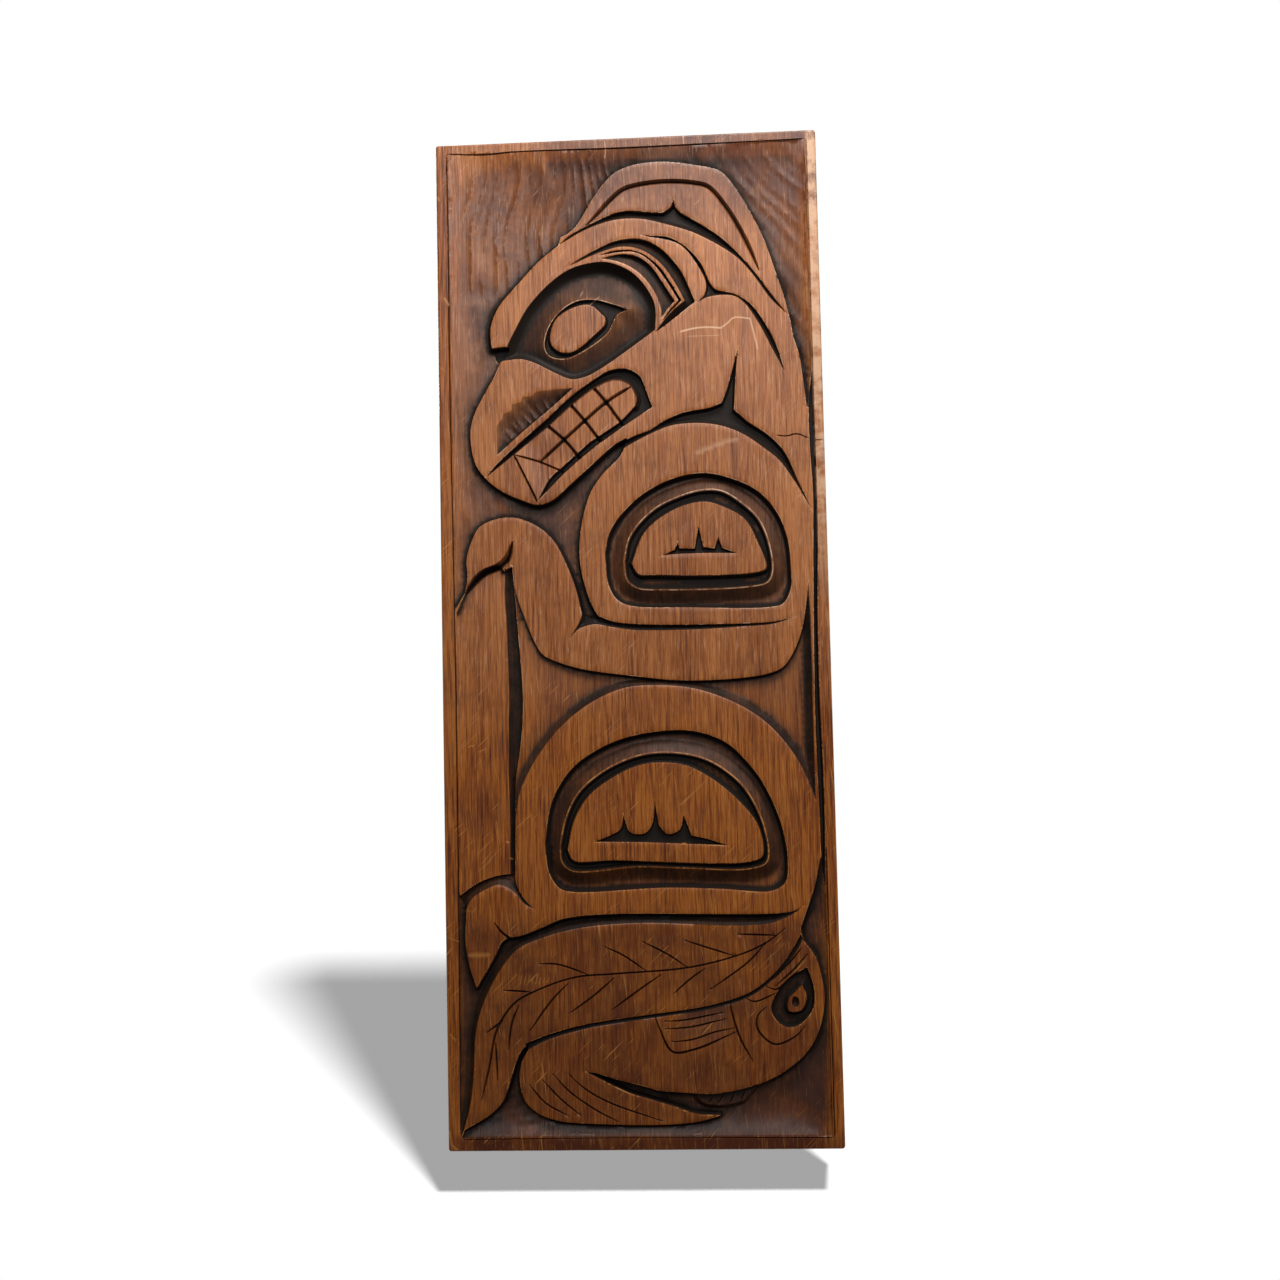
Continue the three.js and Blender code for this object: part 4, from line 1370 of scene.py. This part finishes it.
@dataclass
class CarvedPanel:
    """The plank with its relief, as one mesh.

    Args:
        low: the lowest corner of the plank, in metres.
        high: the highest corner, in metres.
        relief: the carved front.
        corner: the rounding of the corners seen from the front, in mm.
        arris: the rounding of the front's edges, in mm.
        back_bevel: the bevel round the back, in metres.
        deepest: what no cut goes below, in mm.
    """

    low: Vector
    high: Vector
    relief: Relief = field(default_factory=Relief)
    corner: float = 3.0
    arris: float = 1.5
    back_bevel: float = 0.0012
    deepest: float = 12.0

    def outline(self, step: float = 1.3) -> np.ndarray:
        """The plank's outline.

        Args:
            step: the distance between its points, in mm.

        Returns:
            The points, in mm.
        """
        half_x, half_z = self.high.x / MM, self.high.z / MM
        r = self.corner
        ring = []
        for cx, cz, start in ((1, 1, 0), (-1, 1, 90), (-1, -1, 180), (1, -1, 270)):
            for turn in np.radians(np.linspace(start, start + 90, 5)):
                x = cx * (half_x - r) + r * math.cos(turn)
                ring.append((x, cz * (half_z - r) + r * math.sin(turn)))
        ring = np.array(ring + ring[:1])
        points = []
        for a, b in zip(ring[:-1], ring[1:]):
            count = max(1, round(np.hypot(*(b - a)) / step))
            points.append(a + (b - a) * np.arange(count)[:, None] / count)
        return np.vstack(points)

    def build(self) -> bpy.types.Object:
        """Returns: the finished object."""
        outline = self.outline()
        chosen = self.relief.points(outline)
        at, faces, surface = self.relief.refine(chosen, list(range(len(outline))))
        depth, looks = surface.depth, surface.looks
        half = np.array([self.high.x, self.high.z]) / MM
        inset = (half - np.abs(at)).min(1)
        turn = np.clip(self.arris - inset, 0, self.arris)
        depth = np.maximum(depth, self.arris - np.sqrt(self.arris**2 - turn**2))
        depth = np.minimum(depth, self.deepest)
        # the plank's outer edges count as crests, which the finish paints pale as wear and highlight
        looks["crest"] = np.maximum(looks["crest"], np.exp(-inset / 1.2))
        places = np.stack([at[:, 0] * MM, self.low.y + depth * MM, at[:, 1] * MM], 1)
        mesh = bpy.data.meshes.new("carved_front")
        mesh.from_pydata(places.tolist(), [], [tuple(f) for f in faces])
        for mark in self.relief.marks:
            looks["bare"] = np.maximum(looks["bare"], mark.bare_at(at))
        for name, values in looks.items():
            mesh.attributes.new(name, "FLOAT", "POINT").data.foreach_set("value", values.astype(np.float32))
        mesh.update()
        panel = bpy.data.objects.new("cedar_panel", mesh)
        bpy.context.scene.collection.objects.link(panel)
        self.close_back(panel)
        log.info("panel: %d triangles", sum(len(p.vertices) - 2 for p in mesh.polygons))
        return panel

    def close_back(self, panel: bpy.types.Object) -> None:
        """Gives the front its sides and its back.

        Args:
            panel: the object that holds the front.
        """
        bpy.ops.object.select_all(action="DESELECT")
        panel.select_set(True)
        bpy.context.view_layer.objects.active = panel
        bpy.ops.object.mode_set(mode="EDIT")
        bpy.ops.mesh.select_mode(type="FACE")
        bpy.ops.mesh.select_all(action="SELECT")
        bpy.ops.mesh.region_to_loop()
        bpy.ops.mesh.extrude_edges_move()
        bpy.ops.transform.resize(value=(1, 0, 1), center_override=(0, 0, 0))
        bpy.ops.mesh.edge_face_add()
        bpy.ops.mesh.select_mode(type="EDGE")
        bpy.ops.mesh.bevel(offset=self.back_bevel, segments=2, affect="EDGES")
        bpy.ops.mesh.select_all(action="SELECT")
        bpy.ops.mesh.normals_make_consistent(inside=False)
        bpy.ops.object.mode_set(mode="OBJECT")
        bpy.ops.object.shade_smooth_by_angle(angle=math.radians(38))


# finishes


class Value:
    """A number, colour or vector inside a material, with ordinary arithmetic.

    Args:
        nodes: the material's nodes.
        socket: the node's output that gives it.
    """

    def __init__(self, nodes: "Nodes", socket: bpy.types.NodeSocket) -> None:
        self.nodes = nodes
        self.socket = socket

    def _maths(self, operation: str, *inputs: "Value | float") -> "Value":
        return self.nodes.make("ShaderNodeMath", 0, {"operation": operation}, dict(enumerate(inputs)))

    def __add__(self, other: "Value | float") -> "Value":
        return self._maths("ADD", self, other)

    def __sub__(self, other: "Value | float") -> "Value":
        return self._maths("SUBTRACT", self, other)

    def __mul__(self, other: "Value | float") -> "Value":
        return self._maths("MULTIPLY", self, other)

    def __truediv__(self, other: "Value | float") -> "Value":
        return self._maths("DIVIDE", self, other)

    def __rsub__(self, other: "Value | float") -> "Value":
        return self._maths("SUBTRACT", other, self)

    def __rtruediv__(self, other: "Value | float") -> "Value":
        return self._maths("DIVIDE", other, self)

    __radd__ = __add__
    __rmul__ = __mul__

    def __pow__(self, power: float) -> "Value":
        return self._maths("POWER", self, power)

    def least(self, other: "Value | float") -> "Value":
        """Returns: the smaller of the two."""
        return self._maths("MINIMUM", self, other)

    def most(self, other: "Value | float") -> "Value":
        """Returns: the larger of the two."""
        return self._maths("MAXIMUM", self, other)

    def sine(self) -> "Value":
        """Returns: the sine."""
        return self._maths("SINE", self)

    def size(self) -> "Value":
        """Returns: the value without its sign."""
        return self._maths("ABSOLUTE", self)

    def clamped(self) -> "Value":
        """Returns: the value kept from 0 to 1."""
        return self.least(1.0).most(0.0)

    def step(self, low: float, high: float) -> "Value":
        """Returns: a smooth rise from 0 at low to 1 at high."""
        return self.nodes.make(
            "ShaderNodeMapRange", "Result", {"interpolation_type": "SMOOTHSTEP"},
            Value=self, From_Min=low, From_Max=high,
        )


class Nodes:
    """A material's nodes, made by name.

    Args:
        name: the material's name.
    """

    def __init__(self, name: str) -> None:
        self.material = bpy.data.materials.new(name)
        self.material.use_nodes = True
        self.tree = self.material.node_tree
        self.tree.nodes.clear()

    def plug(self, socket: bpy.types.NodeSocket, value: "Value | float | tuple") -> None:
        """Sets a socket to a number or colour, or links it to a value.

        Args:
            socket: a node's input.
            value: what it takes.
        """
        if isinstance(value, Value):
            self.tree.links.new(value.socket, socket)
        else:
            socket.default_value = value

    def make(
        self,
        kind: str,
        output: "str | int" = 0,
        settings: "dict | None" = None,
        numbered: "dict | None" = None,
        **inputs: "Value | float | tuple",
    ) -> Value:
        """Makes any node.

        Args:
            kind: the node's type.
            output: the name or number of the output wanted.
            settings: properties to set on the node.
            numbered: values for its sockets, by their number.
            inputs: values for its sockets, by name with _ for spaces.

        Returns:
            The output wanted.
        """
        node = self.tree.nodes.new(kind)
        for name, value in (settings or {}).items():
            setattr(node, name, value)
        for name, value in inputs.items():
            self.plug(node.inputs[name.replace("_", " ")], value)
        for number, value in (numbered or {}).items():
            self.plug(node.inputs[number], value)
        return Value(self, node.outputs[output])

    def blend(self, share: "Value | float", first: "Value | tuple", second: "Value | tuple") -> Value:
        """Returns: a colour that goes from first to second as share rises."""
        return self.make("ShaderNodeMix", 2, {"data_type": "RGBA"}, {0: share, 6: first, 7: second})

    def mixed(self, share: Value, first: Value, second: Value) -> Value:
        """Returns: a surface that goes from first to second as share rises."""
        return self.make("ShaderNodeMixShader", 0, None, {0: share, 1: first, 2: second})

    def stretched(self, place: Value, x: float, y: float, z: float) -> Value:
        """Returns: a place multiplied along its axes."""
        return self.make("ShaderNodeVectorMath", 0, {"operation": "MULTIPLY"}, {0: place, 1: (x, y, z)})

    def noise(self, place: Value, scale: float, detail: float = 2.0, rough: float = 0.5) -> Value:
        """Returns: soft noise about 0.5."""
        return self.make(
            "ShaderNodeTexNoise", "Fac", Vector=place, Scale=scale, Detail=detail, Roughness=rough
        )

    def scratches(self, place: Value, turn: float, squeeze: float, shift: float) -> Value:
        """Fine short scratches in patches.

        Args:
            place: where on the surface.
            turn: how far the scratches lean from upright, in radians.
            squeeze: their width over their length.
            shift: picks other patches and scratches.

        Returns:
            1 on a scratch and 0 between them.
        """
        moved = self.make("ShaderNodeVectorMath", 0, {"operation": "ADD"}, {0: place, 1: (shift, 0, shift)})
        turned = self.make(
            "ShaderNodeVectorRotate", 0, {"rotation_type": "Y_AXIS"}, Vector=moved, Angle=turn
        )
        lines = self.noise(self.stretched(turned, 1, 0.1, squeeze), 1200.0, 1.0, 0.4).step(0.68, 0.73)
        patches = self.noise(moved, 30.0, 2.0).step(0.5, 0.6)
        return lines * patches

    def attribute(self, name: str) -> Value:
        """Returns: one of the mesh's own values."""
        return self.make("ShaderNodeAttribute", "Fac", {"attribute_name": name})

    def split(self, place: Value) -> tuple:
        """Returns: the three parts of a place."""
        return tuple(self.make("ShaderNodeSeparateXYZ", axis, Vector=place) for axis in "XYZ")

    def finish(self, shader: Value) -> bpy.types.Material:
        """Links the surface and returns the material."""
        output = self.tree.nodes.new("ShaderNodeOutputMaterial")
        self.plug(output.inputs["Surface"], shader)
        return self.material


def tint(text: str) -> tuple:
    """A colour for a colour socket.

    Args:
        text: the colour as six hex digits.

    Returns:
        Its red, green, blue and opacity.
    """
    parts = [int(text[k : k + 2], 16) / 255 for k in (0, 2, 4)]
    linear = [c / 12.92 if c <= 0.04045 else ((c + 0.055) / 1.055) ** 2.4 for c in parts]
    return (*linear, 1.0)


@dataclass(frozen=True)
class StainedCedar:
    """Cedar under a reddish stain and worn satin varnish, with dark stain and painted shade in the cuts and
    highlights painted on crests.

    Args:
        pale, middle, dark: the colours of the grain.
        honey, amber: the same as pale and middle in the lower half.
        ground: the stain on lowered wood.
        shade: the painted shade, partly stain, near the foot of a wall.
        pit_stain_and_shade: the dark stain and painted shade in the deepest cuts.
        wear_and_highlight, orange: pale wood where the varnish is worn through, also used as painted
            highlights on crests and gouge ridges, in the upper and lower half.
        gloss: the roughness of the varnish.
    """

    pale: tuple = tint("b97540")
    middle: tuple = tint("975628")
    dark: tuple = tint("55260f")
    ground: tuple = tint("5a3930")
    shade: tuple = tint("2a1c15")
    pit_stain_and_shade: tuple = tint("211915")
    honey: tuple = tint("b46b28")
    amber: tuple = tint("8f4a17")
    wear_and_highlight: tuple = tint("e2b692")
    orange: tuple = tint("d9954c")
    gloss: float = 0.37

    def material(self) -> bpy.types.Material:
        """Returns: the material."""
        nodes = Nodes("stained_cedar")
        place = nodes.make("ShaderNodeTexCoord", "Object")
        x, y, z = nodes.split(place)
        wall = nodes.attribute("wall")
        shade_and_stain_halo = nodes.attribute("shade_and_stain_halo")
        tone = nodes.attribute("tone")
        ridge = nodes.attribute("ridge")
        crest = nodes.attribute("crest")
        bare = nodes.attribute("bare").clamped()

        # the grain, streaked up the plank and honey coloured in the lower half
        sway = nodes.noise(nodes.stretched(place, 1, 0.1, 0.45), 9.0, 2.0) - 0.5
        across = x + sway * 0.03
        arcs = nodes.noise(nodes.stretched(place, 1, 0.3, 0.3), 15.0, 2.0, 0.4)
        rings = (across * 1400.0 + arcs * 60.0).sine()
        late = (rings * 0.5 + 0.5) ** 3.0
        fibre = nodes.noise(nodes.stretched(place, 1, 0.1, 0.022), 1600.0, 3.0, 0.65)
        streak = nodes.noise(nodes.stretched(place, 1, 0.1, 0.035), 560.0, 3.0, 0.6)
        band = nodes.noise(nodes.stretched(place, 1, 0.1, 0.12), 40.0, 2.0)
        fleck = nodes.noise(nodes.stretched(place, 1, 0.1, 0.08), 900.0, 2.0, 0.5).step(0.6, 0.7)
        pore = nodes.noise(nodes.stretched(place, 1, 0.1, 0.06), 1150.0, 2.0, 0.5).step(0.61, 0.7)
        left_edge = 1.0 - x.step(-0.1375, -0.1355)
        honeyed = (1.0 - z.step(-0.1, 0.0)).most(left_edge * 0.75)
        grain = ((fibre - 0.5) * 4.4 + (streak - 0.5) * 2.8) * (1.0 + honeyed * 0.3 - tone * 0.45)
        grain = grain + (band - 0.5) * 2.0 + late * 0.3
        pale = nodes.blend(honeyed, self.pale, self.honey)
        middle = nodes.blend(honeyed, self.middle, self.amber)
        wood = nodes.blend(grain.step(-0.6, 0.5), pale, middle)
        wood = nodes.blend(grain.step(0.3, 1.5).most(pore * 0.45), wood, self.dark)

        # darker zones of the plank, the stain on lowered wood, and dark stain with painted shade in and
        # near the cuts
        fish = (1.0 - z.step(-0.222, -0.204)) * (1.0 - x.size().step(0.122, 0.134))
        # darker along the bottom edge: partly dirt, partly painted shade where the light falls off
        foot = 1.0 - z.step(-0.372, -0.362)
        # darker along the top, except on the left border
        top = z.step(0.285, 0.345) * (0.3 + x.step(-0.08, -0.02) * 0.7) * (1.0 - left_edge)
        # painted shade in a strip of the ground under the top border
        shade_under_top_border = z.step(0.35, 0.358) * (1.0 - z.step(0.369, 0.371)) * x.step(-0.072, -0.055)
        shade_under_top_border = shade_under_top_border * tone.step(0.3, 0.6)
        blotch = nodes.noise(place, 26.0, 3.0, 0.6)
        mottle = nodes.noise(place, 120.0, 4.0, 0.6)
        murk = (blotch - 0.5) * 1.5 + (mottle - 0.5) * 0.8
        wood = nodes.blend((fish * 0.5 + foot * 0.5 + top * 0.75 + murk * 0.9).clamped(), wood, self.dark)
        lowered = tone * (0.75 + murk * 0.8)
        wood = nodes.blend(lowered.clamped(), wood, self.ground)
        # painted shade, partly stain, near the foot of steep walls and under the top border
        near = (shade_and_stain_halo + shade_under_top_border * 0.45) * (0.75 + murk)
        wood = nodes.blend(near.clamped(), wood, self.shade)
        # dark stain and painted shade on the walls and in the deep narrow cuts
        stain = (wall * (1.15 + murk * 0.5)).clamped()
        wood = nodes.blend(stain, wood, self.pit_stain_and_shade)

        # where the varnish is worn through, and where highlights are painted along crests and gouge ridges
        wear_and_highlight = nodes.blend(honeyed, self.wear_and_highlight, self.orange)
        front = 1.0 - y.step(-0.02, -0.012)
        # pale along the crests of edges: partly worn varnish, partly painted highlight
        worn = crest.step(0.45, 0.9) * mottle.step(0.4, 0.58) * (1.0 - wall).clamped() * front
        # pale gouge ridges: partly rubbed varnish, partly painted highlight
        ridges = ridge.step(0.35, 1.0) * mottle.step(0.3, 0.6) * 0.42 * (1.0 - shade_and_stain_halo).clamped()
        scratches = nodes.scratches(place, 0.12, 0.018, 5.0).most(nodes.scratches(place, -0.8, 0.035, 9.0))
        scratches = scratches * (0.3 + honeyed * 0.4)
        frayed = x.step(0.1365, 0.139) * z.step(0.0, 0.12) * mottle.step(0.3, 0.62) * 0.75 * front
        open_wood = (1.0 - stain) * (1.0 - near.clamped())
        worn = (worn * 0.85).most(bare).most(ridges).most(frayed)
        worn = worn.most(fleck * open_wood * 0.22).most(scratches * open_wood * 0.8)
        wood = nodes.blend(worn, wood, wear_and_highlight)

        # varnish on the wood, and a dull finish in the stained cuts, on the lowered ground and where shade
        # is painted
        rough = self.gloss + (fibre - 0.5) * 0.25 + murk * 0.12
        fuzz = fibre * 0.6 + streak * 0.5 + late * 0.25
        bump = nodes.make("ShaderNodeBump", "Normal", Height=fuzz, Strength=0.4, Distance=0.0006)
        varnished = nodes.make(
            "ShaderNodeBsdfPrincipled", "BSDF", Base_Color=wood, Roughness=rough, Normal=bump,
            Specular_IOR_Level=0.42, Coat_Weight=0.1, Coat_Roughness=0.25,
        )
        dull = nodes.make(
            "ShaderNodeBsdfPrincipled", "BSDF", Base_Color=wood, Roughness=0.55, Normal=bump,
            Specular_IOR_Level=0.2,
        )
        hidden = (stain * 1.5).clamped().most((near * 0.8).clamped()).most((lowered * 0.35).clamped())
        return nodes.finish(nodes.mixed(hidden, varnished, dull))


@dataclass(frozen=True)
class Paper:
    """White background paper, which takes shadows near the object and is plain white elsewhere.

    Args:
        dull, lit: its colour where it is plain and where it takes shadows.
        glow, faint_glow: the light it gives off where it is plain and where it takes shadows.
    """

    dull: tuple = (0.0, 0.0, 0.0, 1.0)
    lit: tuple = (0.037, 0.037, 0.037, 1.0)
    glow: tuple = (1.0, 1.0, 1.0, 1.0)
    faint_glow: tuple = (0.37, 0.37, 0.37, 1.0)

    def material(self) -> bpy.types.Material:
        """Returns: the material."""
        nodes = Nodes("white_paper")
        x, y, _ = nodes.split(nodes.make("ShaderNodeTexCoord", "Object"))
        plain = (1.0 - y.step(-0.09, -0.04)).most(y.step(0.43, 0.49)).most(x.size().step(1.2, 2.2))
        return nodes.finish(
            nodes.make(
                "ShaderNodeBsdfPrincipled", "BSDF", Base_Color=nodes.blend(plain, self.lit, self.dull),
                Roughness=0.9, Specular_IOR_Level=0.0, Emission_Strength=1.0,
                Emission_Color=nodes.blend(plain, self.faint_glow, self.glow),
            )
        )


def light_only(source: bpy.types.Object, lit: bpy.types.Object) -> None:
    """Lets a lamp or a glowing thing light one object alone.

    Args:
        source: the lamp or glowing thing.
        lit: the object it lights.
    """
    chosen = bpy.data.collections.new(source.name + "_lights")
    chosen.objects.link(lit)
    source.light_linking.receiver_collection = chosen


@dataclass(frozen=True)
class Sun:
    """Even light from one side, for the floor's shadows.

    Args:
        name: the lamp's name.
        way: the way its light goes.
        strength: its strength, in watts per square metre.
        spread: how wide it looks, in degrees.
    """

    name: str
    way: tuple
    strength: float
    spread: float

    def set_up(self, floor: bpy.types.Object) -> None:
        """Adds the lamp.

        Args:
            floor: the floor, which alone is lit.
        """
        bpy.ops.object.light_add(type="SUN", location=(0, 0, 2))
        lamp = bpy.context.object
        lamp.name = self.name
        lamp.data.energy = self.strength
        lamp.data.angle = math.radians(self.spread)
        lamp.rotation_euler = Vector(self.way).to_track_quat("-Z", "Y").to_euler()
        light_only(lamp, floor)


@dataclass(frozen=True)
class Softbox:
    """A rectangular lamp turned towards a point.

    Args:
        name: the lamp's name.
        place: where it stands, in metres.
        target: what it faces.
        width, height: its size in metres.
        watts: its power.
        colour: its colour.
    """

    name: str
    place: tuple
    target: tuple
    width: float
    height: float
    watts: float
    colour: tuple = (1.0, 1.0, 1.0)

    def set_up(self, panel: bpy.types.Object) -> None:
        """Adds the lamp.

        Args:
            panel: the panel, which alone is lit.
        """
        bpy.ops.object.light_add(type="AREA", location=self.place)
        lamp = bpy.context.object
        lamp.name = self.name
        lamp.data.shape = "RECTANGLE"
        lamp.data.size = self.width
        lamp.data.size_y = self.height
        lamp.data.energy = self.watts
        lamp.data.color = self.colour
        way = Vector(self.target) - Vector(self.place)
        lamp.rotation_euler = way.to_track_quat("-Z", "Y").to_euler()
        light_only(lamp, panel)


@dataclass(frozen=True)
class Studio:
    """The pale floor, the lamps and the camera.

    The panel leans back a little in the photograph, so here the floor under it is tilted instead.

    Args:
        profile: the floor seen from the side, as places behind the panel and heights, in metres.
        reach: how far it goes to each side.
        daylight: the strength of the even light from all round.
    """

    profile: tuple = ((-0.25, -0.477), (0.5, -0.265), (1.1, -0.36), (5.0, -0.6), (5.6, 4.4))
    reach: float = 6.0
    daylight: float = 0.1

    def floor(self) -> bpy.types.Object:
        """Adds a floor that starts before the object, falls away behind it and turns up far behind.

        Returns:
            The floor.
        """
        bpy.ops.mesh.primitive_plane_add(size=2, location=(0, 0, 0))
        floor = bpy.context.object
        floor.name = "pale_floor"
        front, height = self.profile[0]
        bpy.ops.object.mode_set(mode="EDIT")
        bpy.ops.transform.resize(value=(self.reach, 0.005, 1), center_override=(0, 0, 0))
        bpy.ops.transform.translate(value=(0, front, height))
        bpy.ops.mesh.select_all(action="DESELECT")
        bpy.ops.mesh.select_mode(type="EDGE")
        bpy.ops.object.mode_set(mode="OBJECT")
        for edge in floor.data.edges:
            edge.select = all(floor.data.vertices[v].co.y > front for v in edge.vertices)
        bpy.ops.object.mode_set(mode="EDIT")
        for (y, z), (next_y, next_z) in zip(self.profile, self.profile[1:]):
            bpy.ops.mesh.extrude_edges_move(TRANSFORM_OT_translate={"value": (0, next_y - y, next_z - z)})
        bpy.ops.object.mode_set(mode="OBJECT")
        floor.data.materials.append(Paper().material())
        return floor

    def lamps(self, panel: bpy.types.Object, floor: bpy.types.Object) -> None:
        """Adds the lamps and the even light.

        Args:
            panel: the panel, which the soft boxes light.
            floor: the floor, which has lamps of its own for its soft shadows.
        """
        Softbox("key_lamp", (0.1, -0.5, 0.82), (0, 0, 0.15), 0.5, 0.3, 6.0, (1.0, 0.97, 0.93)).set_up(panel)
        Softbox("sheen_lamp", (0.1, -2.3, 1.05), (0, 0, 0.1), 1.2, 0.6, 12.0).set_up(panel)
        Softbox("back_lamp", (-0.8, 1.7, 1.0), (0, 0, 0), 0.9, 0.9, 22.0).set_up(panel)
        Softbox("side_lamp", (0.75, -0.7, 0.6), (0, 0, 0.1), 0.3, 0.3, 3.2, (1.0, 0.97, 0.93)).set_up(panel)
        Sun("floor_sun", (-0.643, 1.0, -1.8), 66.0, 7.0).set_up(floor)
        light_only(floor, floor)
        world = bpy.data.worlds.new("even_light")
        world.use_nodes = True
        world.node_tree.nodes["Background"].inputs["Strength"].default_value = self.daylight
        world.node_tree.nodes["Background"].inputs["Color"].default_value = (1, 1, 1, 1)
        bpy.context.scene.world = world

    def camera(self) -> None:
        """Adds the camera where the photograph was taken from."""
        bpy.ops.object.camera_add(location=(0.0648, -1.1518, -0.0785), rotation=(1.6362, 0.0216, 0.056))
        camera = bpy.context.object
        camera.data.lens = 42.19
        camera.data.sensor_width = 36.0
        camera.data.clip_end = 60.0
        bpy.context.scene.camera = camera

    def set_up(self, panel: bpy.types.Object) -> None:
        """Adds everything round the panel.

        Args:
            panel: the finished panel.
        """
        self.lamps(panel, self.floor())
        self.camera()
        bpy.context.scene.view_settings.view_transform = "Standard"


def main() -> None:
    """Builds the panel and its studio."""
    logging.basicConfig(level=logging.INFO, format="%(message)s")
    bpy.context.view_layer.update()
    low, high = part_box("carved_panel")
    panel = CarvedPanel(low, high).build()
    panel.data.materials.append(StainedCedar().material())
    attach(panel, "root")
    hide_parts("carved_panel")
    Studio().set_up(panel)


if __name__ == "__main__":
    main()
